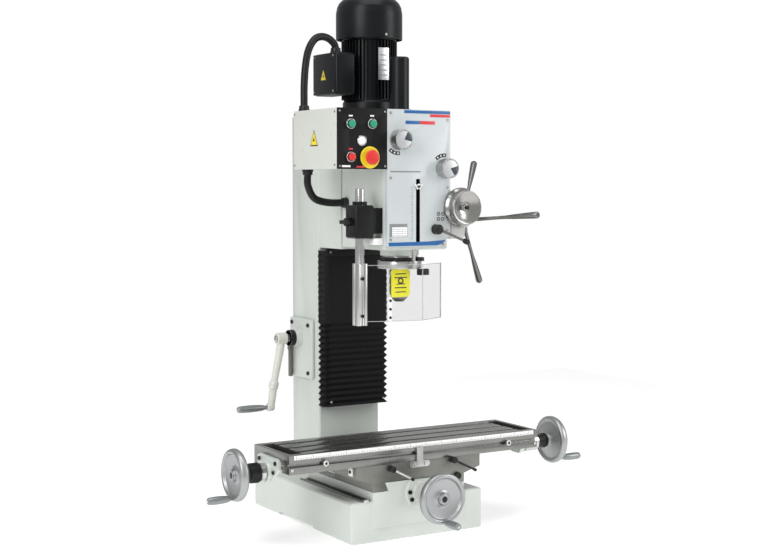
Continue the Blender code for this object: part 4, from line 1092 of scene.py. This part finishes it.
bm = turn(bmesh.new(), [(0, 7), (6, 6.4), (10, 4.2), (11.4, 2), (11.4, 0.1), (0, 0.1)],
          (-180, FRONT, 1084), (0, -1, 0), 48, 0.8)
show("power_lamp", bm, lamp_white, "head", (), 60)
bm = turn(bmesh.new(), [(11.6, 0.1), (14.4, 0.1), (14.4, 2), (13.4, 3.4), (11.8, 3.4)],
          (-180, FRONT, 1084), (0, -1, 0), 48, 0.4)
show("power_lamp_bezel", bm, chrome, "head")
cap_screws("control_plate_screws", [(x, FRONT - 0.7, z) for x, z in (
    (-247, 1162), (-108.5, 1162), (-247, 1017), (-108.5, 1017))], (0, -1, 0), "head", bright,
    3, 1.4, 1.4)
slab("control_plate_label", (-240, -214), (FRONT - 0.4, FRONT - 0.1), (1014, 1019),
     print_white, "head", 0.1)
slab("control_plate_mark", (-196, -172), (FRONT - 0.4, FRONT - 0.1), (1013, 1017), print_red,
     "head", 0.1)


def warning(name, x, y, z, size, body):
    """A plain yellow triangle with a dark border on a face that looks to -X."""
    for part, scale, depth, finish in (("border", 1.0, 0.3, print_black),
                                       ("field", 0.82, 0.6, ring_yellow),
                                       ("mark", 0.26, 0.8, print_black)):
        points = [(y + u * size * scale, z + v * size * scale)
                  for u, v in ((-0.5, -0.4), (0.5, -0.4), (0, 0.6))]
        bm = prism(bmesh.new(), points, "YZ", x - depth, x - 0.05, 0.1)
        show(f"{name}_{part}", bm, finish, body)


warning("cabinet_warning", -254, 25, 1089, 44, "head")
cap_screws("cabinet_screws", [(-254.9, y, z) for y, z in ((-92, 1160), (137, 1160), (-92, 1020),
                                                          (137, 1020))], (-1, 0, 0), "head",
           bright, 3.2, 1.8, 1.6)
print("switches ready")

# %% [markdown]
# ## Motor
# A finned aluminium body under a pressed fan cowl.  The fins are a ring of
# bars grown around a plain barrel, and the cowl's top is a grille of rings and
# ribs so that it also reads from above.

# %% Body, fins and foot
AXLE = (0, 166, 0)
bm = turn(bmesh.new(), [(15, 1170.6), (74, 1170.6), (76, 1173), (76, 1200), (72, 1206),
                        (71, 1212), (71, 1372), (77, 1377), (78, 1391.5), (15, 1391.5)],
          AXLE, (0, 0, 1), 96, 1.4)
show("motor_barrel", bm, motor_paint, "head", ("motor_body",), 40)
bars_round("motor_fins", (0, 166, 1291), (0, 0, 1), "head", motor_paint, 46, 74.6,
           (9.6, 2.2, 164))
bm = bmesh.new()
for angle in (45, 135, 225, 315):
    x, y = 69 * math.cos(math.radians(angle)), 166 + 69 * math.sin(math.radians(angle))
    turn(bm, [(0, 1382), (6, 1382), (6.4, 1380), (6.4, 1196), (0, 1196)], (x, y, 0),
         (0, 0, 1), 20, 0.6)
show("motor_tie_bosses", bm, motor_paint, "head")
cap_screws("motor_foot_screws", [(58 * math.cos(math.radians(a)) * 1.08,
                                  166 + 58 * math.sin(math.radians(a)) * 1.08, 1207.5)
                                 for a in (60, 120, 240, 300)], (0, 0, 1), "head", bright, 5, 4,
           2.6)

# %% Cowl with its grille
bm = turn(bmesh.new(), [
    (60, 1496.4), (77, 1490.5), (86, 1481), (91.5, 1470), (94.8, 1452), (94.8, 1379),
    (93, 1378), (92, 1380), (92, 1452), (88.6, 1469), (83.5, 1478.5), (75.5, 1487),
    (60, 1493)], AXLE, (0, 0, 1), 96, 2.5)
show("motor_cowl_shell", bm, motor_paint, "head", ("motor_cowl",), 50)
bm = bmesh.new()
for radius in (12, 22, 32, 42, 52, 61):
    turn(bm, [(radius - 2, 1494.6), (radius + 2, 1494.6), (radius + 2, 1496.6),
              (radius - 2, 1496.6)], AXLE, (0, 0, 1), 72, 0.4)
show("motor_cowl_rings", bm, motor_paint, "head")
bars_round("motor_cowl_ribs", (0, 166, 1494.4), (0, 0, 1), "head", motor_paint, 12, 32,
           (60, 3, 2.2))
cap_screws("motor_cowl_screws", [(95.2 * math.cos(math.radians(-90)), 166 - 95.2, 1388)],
           (0, -1, 0), "head", bright, 3.6, 1.4, 1.7)
bm = prism(bmesh.new(), [(-17, 1262), (17, 1262), (17, 1352), (-17, 1352)], "XZ", 84.6, 86.6,
           0.4)
show("motor_plate", bm, silver_film, "head")
for i in range(5):
    slab(f"motor_plate_line_{i}", (-12, 12), (84.1, 84.7), (1274 + 14 * i, 1277 + 14 * i),
         print_grey, "head", 0.1)

# %% Terminal box and drawbar cap
bm = block(bmesh.new(), (-147.5, -143), (102, 230), (1220, 1334), 3)
show("terminal_box_lid", bm, motor_paint, "head")
cap_screws("terminal_box_screws", [(-148.3, y, z) for y in (110, 222) for z in (1228, 1326)],
           (-1, 0, 0), "head", bright, 3.2, 1.6, 1.6)
warning("terminal_warning", -147.4, 168, 1272, 34, "head")
bm = turn(bmesh.new(), [(0, 1319.4), (23, 1319.4), (26.6, 1316), (27, 1312), (27, 1174),
                        (27.6, 1171), (23.6, 1171), (23.6, 1312), (0, 1312)], (0, 0, 0),
          (0, 0, 1), 64, 1.5)
show("drawbar_cap_spun", bm, motor_paint, "head", ("drawbar_cap",), 40)
bm = turn(bmesh.new(), [(27.2, 1170.4), (33, 1170.4), (33, 1174), (31, 1176), (27.2, 1176)],
          (0, 0, 0), (0, 0, 1), 64, 0.6)
show("drawbar_cap_flange", bm, motor_paint, "head")
print("motor ready")

# %% [markdown]
# ## Conduits
# Both cables run in short corrugated hoses that are fixed at each end.  The
# route is a smooth curve; a tree sweeps a circle along it and lets the radius
# rise and fall from point to point, which makes the ribs.

# %% Ribbed hoses and glands
hoses = Growth("ribbed_hose", Rib_Pitch=0.003, Radius=0.0105, Rib_Depth=0.1, Finish=None)
path = hoses.node("GeometryNodeMeshToCurve", None, {0: hoses.given()})
path = hoses.node("GeometryNodeResampleCurve", {"mode": "LENGTH"}, {
    "Curve": path, "Length": hoses.sum("MULTIPLY", hoses.given("Rib Pitch"), 0.5)})
number = hoses.node("GeometryNodeInputIndex")
rib = hoses.sum("SUBTRACT", 1.0, hoses.sum("MULTIPLY", hoses.sum("MODULO", number, 2.0),
                                           hoses.given("Rib Depth")))
section = hoses.node("GeometryNodeCurvePrimitiveCircle", {"mode": "RADIUS"}, {
    "Resolution": 24, "Radius": hoses.given("Radius")})
hoses.finish(hoses.node("GeometryNodeCurveToMesh", None, {
    "Curve": path, "Profile Curve": section, "Scale": rib, "Fill Caps": True}))


def route(points, steps=10):
    """A smooth curve through the points."""
    spots = [Vector(p) for p in points]
    spots = [spots[0] * 2 - spots[1]] + spots + [spots[-1] * 2 - spots[-2]]
    out = []
    for a, b, c, d in zip(spots, spots[1:], spots[2:], spots[3:]):
        for i in range(steps):
            t = i / steps
            out.append(0.5 * (2 * b + (c - a) * t + (2 * a - 5 * b + 4 * c - d) * t * t
                              + (3 * b - a - 3 * c + d) * t ** 3))
    return out + [spots[-2]]


def hose(name, points, node):
    spots = route(points)
    mesh = bpy.data.meshes.new(name)
    mesh.from_pydata([s * MM for s in spots], [(i, i + 1) for i in range(len(spots) - 1)], [])
    plain = hoses.grow(mesh, hose_black, Rib_Pitch=3.4 * MM, Radius=10.5 * MM, Rib_Depth=0.09)
    made = place(name, plain, hose_black, "head", (node,), 60)
    print(name, len(plain.polygons), "faces")
    return made


hose("hose_to_motor", [(-118, 150, 1336.5), (-118, 150, 1348), (-124, 149, 1362),
                       (-142, 147, 1375), (-166, 144, 1379), (-190, 140, 1370),
                       (-212, 134, 1340), (-225, 128, 1296), (-232, 123, 1240),
                       (-234, 120, 1184), (-234, 120, 1171)],
     "conduit_to_motor")
hose("hose_to_head", [(-228, 112, 1008.5), (-228, 112, 995), (-226, 114, 965),
                      (-204, 118, 930), (-160, 120, 918), (-115, 120, 917), (-101.5, 120, 917)],
     "conduit_to_head")
for name, at, axis in (("gland_motor", (-118, 150, 1336), (0, 0, 1)),
                       ("gland_cabinet_top", (-234, 120, 1170), (0, 0, 1)),
                       ("gland_cabinet_low", (-228, 112, 1009), (0, 0, -1)),
                       ("gland_head", (-101, 120, 917), (-1, 0, 0))):
    bm = turn(bmesh.new(), [(10.6, 0), (15.5, 0), (15.5, 5), (14, 6), (14, 13), (12.4, 15),
                            (10.6, 15)], at, axis, 24, 0.5)
    show(name, bm, knob_black, "head")

# %% [markdown]
# ## Capstan and fine feed
# Three spokes turn the pinion that moves the quill.  Each spoke is one swept
# bar that thins below its handle and swells into it.  In front of it stands
# the fine-feed dial, a dished and turned disc with a graduated rim.

# %% Capstan
SPOKE = [(0.03, 7.5), (0.12, 7.5), (0.16, 5.6), (0.45, 4.7), (0.56, 5.0), (0.66, 6.6),
         (0.8, 8.2), (0.95, 9.6), (0.985, 9.3), (1.0, 7.0)]
centre = Vector((0, -58, 868))
bm = bmesh.new()
for index, angle in enumerate((55, 175, 295)):
    y, z = math.cos(math.radians(angle)), math.sin(math.radians(angle))
    start = Vector((175, -58 + 6 * y, 868 + 6 * z))
    end = Vector((289, -58 + 200 * y, 868 + 200 * z))
    sweep(bm, [start.lerp(end, share) for share, _ in SPOKE], [r for _, r in SPOKE], 28)
show("capstan_spokes", bm, spoke_metal, "capstan", ("capstan",), 40)
bm = turn(bmesh.new(), [(0, 189), (11, 189), (13, 187), (19, 186), (21, 183), (21, 164),
                        (19, 161.5), (8, 161.5), (8, 28), (0, 28)], centre, (1, 0, 0), 64, 1.2)
show("capstan_hub_turned", bm, satin, "capstan", (), 40)
bars_round("capstan_pinion", (22, -58, 868), (1, 0, 0), "capstan", gear_iron, 16, 16.6,
           (6, 3.4, 15))

# %% Fine-feed dial
at = (132, -106, 905)
dial_metal = turned_metal("fine_feed_metal", (0.44, 0.435, 0.415), 0.25, "bright_steel", at, 1,
                          1.6)
bm = turn(bmesh.new(), [(0, 31), (6.5, 31), (8, 29.5), (9.5, 23.4), (20, 25.4), (32, 30.4),
                        (43, 36.4), (46.4, 36.8), (47.6, 34.6), (47.6, 17), (50.4, 13),
                        (54.6, 8), (54.8, 0.4), (7, 0.4), (7, -22), (0, -22)],
          at, (0, -1, 0), 96, 1.6)
show("fine_feed_dial", bm, dial_metal, "fine_feed", ("fine_feed_knob",), 40)
bars_round("fine_feed_ticks", (132, -109.5, 905), (0, 1, 0), "fine_feed", print_black, 60,
           54.8, (0.3, 0.6, 4), 5, 0.5)
bm = turn(bmesh.new(), [(0, 2), (5, 2), (6.4, 0.8), (6.4, 0), (0, 0)], (132, -142.4, 905),
          (0, -1, 0), 32, 0.4)
show("fine_feed_nut", bm, knob_black, "fine_feed")
housing_paint = enamel("housing_enamel", (0.60, 0.60, 0.57), 0.36, "cast_grey")
soften("worm_housing", housing_paint, 3.0)
cap_screws("housing_screws", [(160.3, y, z) for y in (-86, -28) for z in (830, 938)],
           (1, 0, 0), "head", knob_black, 5, 4, 2.6)

# %% Quill lock
at = Vector((52, -104, 846))
bm = turn(bmesh.new(), [(0, 24), (10, 24), (13.6, 21), (14, 17), (12.4, 12), (12.4, 7),
                        (14, 4), (14, 0.4), (0, 0.4)], at, (0, -1, 0), 48, 1.4)
show("quill_lock_hub", bm, knob_black, "quill_lock", ("quill_lock_lever",), 45)
spots = [(58, -120, 844), (62, -121, 842.5), (100, -128, 826), (128, -133.2, 813.7)]
show("quill_lock_rod", sweep(bmesh.new(), spots, (4, 4, 3.6, 3.6), 20), spoke_metal, "quill_lock")
spots = [(124, -132.4, 815.6), (126, -133, 815), (130, -133.8, 813), (139, -135.6, 809.2),
         (142, -136, 808)]
show("quill_lock_tip", sweep(bmesh.new(), spots, (4, 6, 7.6, 7.8, 5), 28), knob_black,
     "quill_lock", (), 50)
print("feed controls ready")

# %% [markdown]
# ## Quill, chuck and tag
# Below the head the quill carries a clamp collar with the depth pointer, and
# the spindle ends in a drill chuck.  A yellow transport tag hangs in front of
# the chuck.

# %% Collar, chuck and tag
soften("quill_collar", satin, 0.8)
for name, finish, reach, depth in (("plate", print_white, 1.0, 3.0),
                                   ("mark", print_black, 0.5, 4.1)):
    points = [(-4 + u * reach, 962 + v * reach) for u, v in (
        (-14, 8), (-8, 0), (-5, -8), (0, -3), (5, -8), (8, 0), (14, 8), (6, 5), (0, 9),
        (-6, 5))]
    bm = prism(bmesh.new(), points, "XZ", FRONT - depth - 1, FRONT - depth, 0.2)
    show(f"depth_pointer_{name}", bm, finish, "quill")
bm = turn(bmesh.new(), [(9.6, 715.6), (24, 715.6), (27, 712), (27.4, 708), (27.4, 690),
                        (26.6, 689), (26.6, 686), (27.4, 685), (27.4, 669), (22.4, 653),
                        (12.4, 643.2), (5.2, 643.2), (5.2, 684), (9.6, 686)], (0, 0, 0),
          (0, 0, 1), 72, 0.7)
show("chuck_turned", bm, gear_iron, "spindle", ("chuck",), 35)
bars_round("chuck_knurl", (0, 0, 700), (0, 0, 1), "spindle", gear_iron, 44, 27.2,
           (0.9, 1.4, 17))
for side in (-1, 1):
    slab(f"collar_clamp_{'left' if side < 0 else 'right'}", sorted((side * 22, side * 46)),
         (-58, -44), (757.3, 768), knob_black, "quill", 1.6)
bm = turn(bmesh.new(), [(49.8, 757.4), (53.4, 757.4), (54, 758), (54, 767), (53, 768),
                        (49.8, 768)], (0, 0, 0), (0, 0, 1), 72, 0.5)
show("collar_black_ring", bm, knob_black, "quill")
slab("collar_hook", (26, 60), (-62, -48.6), (718, 735.6), knob_black, "quill", 2.5)
cap_screws("collar_screw", [(76.3, 0, 746.5)], (1, 0, 0), "quill", knob_black, 5.5, 4, 2.8)
tag_outline = fillet([(-46, 658), (8, 658), (14, 668), (14, 724), (10, 735), (-46, 735)], 5,
                     closed=True)
bm = prism(bmesh.new(), tag_outline, "XZ", -33.4, -32, 0.3)
show("chuck_tag", bm, tag_yellow, "spindle")
for index, (z, wide) in enumerate(((722, 34), (712, 40), (694, 26), (684, 38), (672, 32))):
    slab(f"chuck_tag_line_{index}", (-16 - wide / 2, -16 + wide / 2), (-33.9, -33.3),
         (z - 1.4, z + 1.4), print_black, "spindle", 0.1)
bm = turn(bmesh.new(), [(5, 0), (9, 0), (9, 1), (5, 1)], (-16, -33.2, 703), (0, -1, 0), 32, 0.2)
show("chuck_tag_ring", bm, print_black, "spindle")
print("quill ready")

# %% [markdown]
# ## Chuck guard
# A clear folded screen hangs from a chromed post.  The post ends in a slotted
# aluminium extrusion, and a white strip with three screws clamps the screen.

# %% Post, extrusion, screen and strip
GUARD_X, GUARD_Y = -161, -60
bm = turn(bmesh.new(), [(0, 958), (11, 958), (12.5, 956), (12.5, 752), (0, 752)],
          (GUARD_X, GUARD_Y, 0), (0, 0, 1), 64, 0.8)
show("guard_post", bm, chrome, "guard", ("guard_rod",), 40)
HALF = 14.8
profile = [(-HALF, -HALF), (-6, -HALF), (-6, -HALF + 2.5), (-3.5, -HALF + 5),
           (3.5, -HALF + 5), (6, -HALF + 2.5), (6, -HALF), (HALF, -HALF), (HALF, -5),
           (HALF - 3, -5), (HALF - 4.5, -2.5), (HALF - 4.5, 2.5), (HALF - 3, 5), (HALF, 5),
           (HALF, HALF), (-HALF, HALF), (-HALF, 6), (-HALF + 2.5, 4.5), (-HALF + 2.5, -4.5),
           (-HALF, -6)]
corners = [(GUARD_X + x, GUARD_Y + y) for x, y in fillet(profile, 1.2, 2, True)]
bm = prism(bmesh.new(), corners, "XY", 588.4, 755.6, 0.5)
show("guard_extrusion", bm, satin, "guard", (), 35)
cap_screws("guard_extrusion_screws", [(GUARD_X, GUARD_Y - HALF - 1.2, z) for z in (715, 615)],
           (0, -1, 0), "guard", knob_black, 4.5, 3.4, 2.4)
screen_line = [(-145.6, -72), (-90, -94), (5, -114), (96, -66)]
points = fillet(screen_line + [(x, y + 4.6) for x, y in reversed(screen_line)], 4, 3, True)
bm = prism(bmesh.new(), points, "XY", 600, 750, 0.3)
show("guard_screen", bm, clear, "guard", ("guard_shield",), 25)
# The grey rim bands and the two strips at the folds are painted shade and reflection that stand
# in for how the clear sheet darkens and glints at its edges and bends.
bm = prism(bmesh.new(), points, "XY", 598.4, 599.9, 0.2)
prism(bm, points, "XY", 750.1, 751.6, 0.2)
prism(bm, [(94.8, -66.9), (96.2, -66.2), (96.2, -60.6), (94.8, -61.3)], "XY", 600.1, 749.9, 0.2)
for x, y in ((-90, -94.3), (5, -114.4)):
    block(bm, (x - 1.1, x + 1.1), (y - 0.5, y + 0.9), (600.2, 749.8), 0.2)
show("guard_screen_edges", bm, clear_edge_shade, "guard", (), 25)
along = (Vector((5, -114, 0)) - Vector((-90, -94, 0))).normalized()
bm = bmesh.new()
block(bm, (-5, 5), (-2.2, -0.4), (599, 664), 0.5)
bm.transform(Matrix.Translation((-87, -95.2, 0)) @ Matrix.Rotation(
    math.atan2(along.y, along.x), 4, "Z"))
show("guard_strip", bm, print_white, "guard")
strip_facing = (along.y, -along.x, 0)
cap_screws("guard_strip_screws", [(-87 + strip_facing[0] * 3.4, -95.2 + strip_facing[1] * 3.4, z)
                                  for z in (655, 632, 609)], strip_facing, "guard", knob_black,
           3.6, 2.4, 1.8)
bm = turn(bmesh.new(), [(12.9, 0), (19, 0), (20, 1.4), (20, 8), (19, 9.4), (12.9, 9.4)],
          (GUARD_X, GUARD_Y, 913.4), (0, 0, 1), 48, 0.6)
show("guard_bracket_ring", bm, bracket_paint, "head")
slab("guard_bracket_foot", (-131.6, -101.6), (-85, -33), (806, 823.6), print_white, "head",
     2.0)
print("guard ready")

# %% [markdown]
# ## Stage and light
# A seamless pale floor, a broad soft light on each side and a weaker one
# above give the even studio light that such machines are shown in, with long
# highlights down the round parts.  The sky looks plain white but lights the
# machine at half strength.

# %% Floor, lights and sky
FLOOR_HALF, SKY_LIGHT, SKY_SEEN = 2600, 0.5, 1.0
floor_bm = bmesh.new()
bmesh.ops.create_grid(floor_bm, x_segments=2, y_segments=2, size=FLOOR_HALF)
floor_mesh = bpy.data.meshes.new("floor")
floor_bm.to_mesh(floor_mesh)
floor_bm.free()
floor_mesh.transform(Matrix.Scale(MM, 4))
floor_finish = Finish("floor_paper", "cream_paint", Roughness=0.9,
                      Emission_Color=(1, 1, 1, 1), Emission_Strength=0.42)
floor_finish.shader.inputs["Base Color"].default_value = (0.86, 0.86, 0.86, 1)
floor_mesh.materials.append(floor_finish.material)
floor = bpy.data.objects.new("floor", floor_mesh)
bpy.context.scene.collection.objects.link(floor)


def soft_light(name, at, target, size, power):
    data = bpy.data.lights.new(name, "AREA")
    data.shape, data.size, data.size_y = "RECTANGLE", size[0], size[1]
    data.energy = power
    lamp = bpy.data.objects.new(name, data)
    lamp.location = at
    lamp.rotation_euler = (Vector(target) - Vector(at)).to_track_quat("-Z", "Y").to_euler()
    bpy.context.scene.collection.objects.link(lamp)
    return lamp


soft_light("key_left", (-3.2, -1.6, 2.4), (0, 0, 0.75), (1.6, 2.4), 62)
soft_light("fill_right", (2.8, -2.4, 1.9), (0, 0, 0.7), (1.4, 2.2), 44)
soft_light("top", (-0.3, -0.6, 3.6), (0, 0.1, 0.6), (2.4, 2.0), 38)
sky = bpy.data.worlds.new("studio")
sky.use_nodes = True
sky_light = sky.node_tree.nodes["Background"]
sky_light.inputs["Color"].default_value = (1, 1, 1, 1)
sky_light.inputs["Strength"].default_value = SKY_LIGHT
sky_seen = sky.node_tree.nodes.new("ShaderNodeBackground")
sky_seen.inputs["Color"].default_value = (1, 1, 1, 1)
sky_seen.inputs["Strength"].default_value = SKY_SEEN
sky_pick = sky.node_tree.nodes.new("ShaderNodeMixShader")
sky_ray = sky.node_tree.nodes.new("ShaderNodeLightPath")
sky.node_tree.links.new(sky_ray.outputs["Is Camera Ray"], sky_pick.inputs[0])
sky.node_tree.links.new(sky_light.outputs[0], sky_pick.inputs[1])
sky.node_tree.links.new(sky_seen.outputs[0], sky_pick.inputs[2])
sky.node_tree.links.new(sky_pick.outputs[0],
                        sky.node_tree.nodes["World Output"].inputs["Surface"])
bpy.context.scene.world = sky
bpy.context.scene.view_settings.view_transform = "Standard"
print("stage and lights ready")

# %% [markdown]
# The dressed machine has to stay inside the frame's own box.
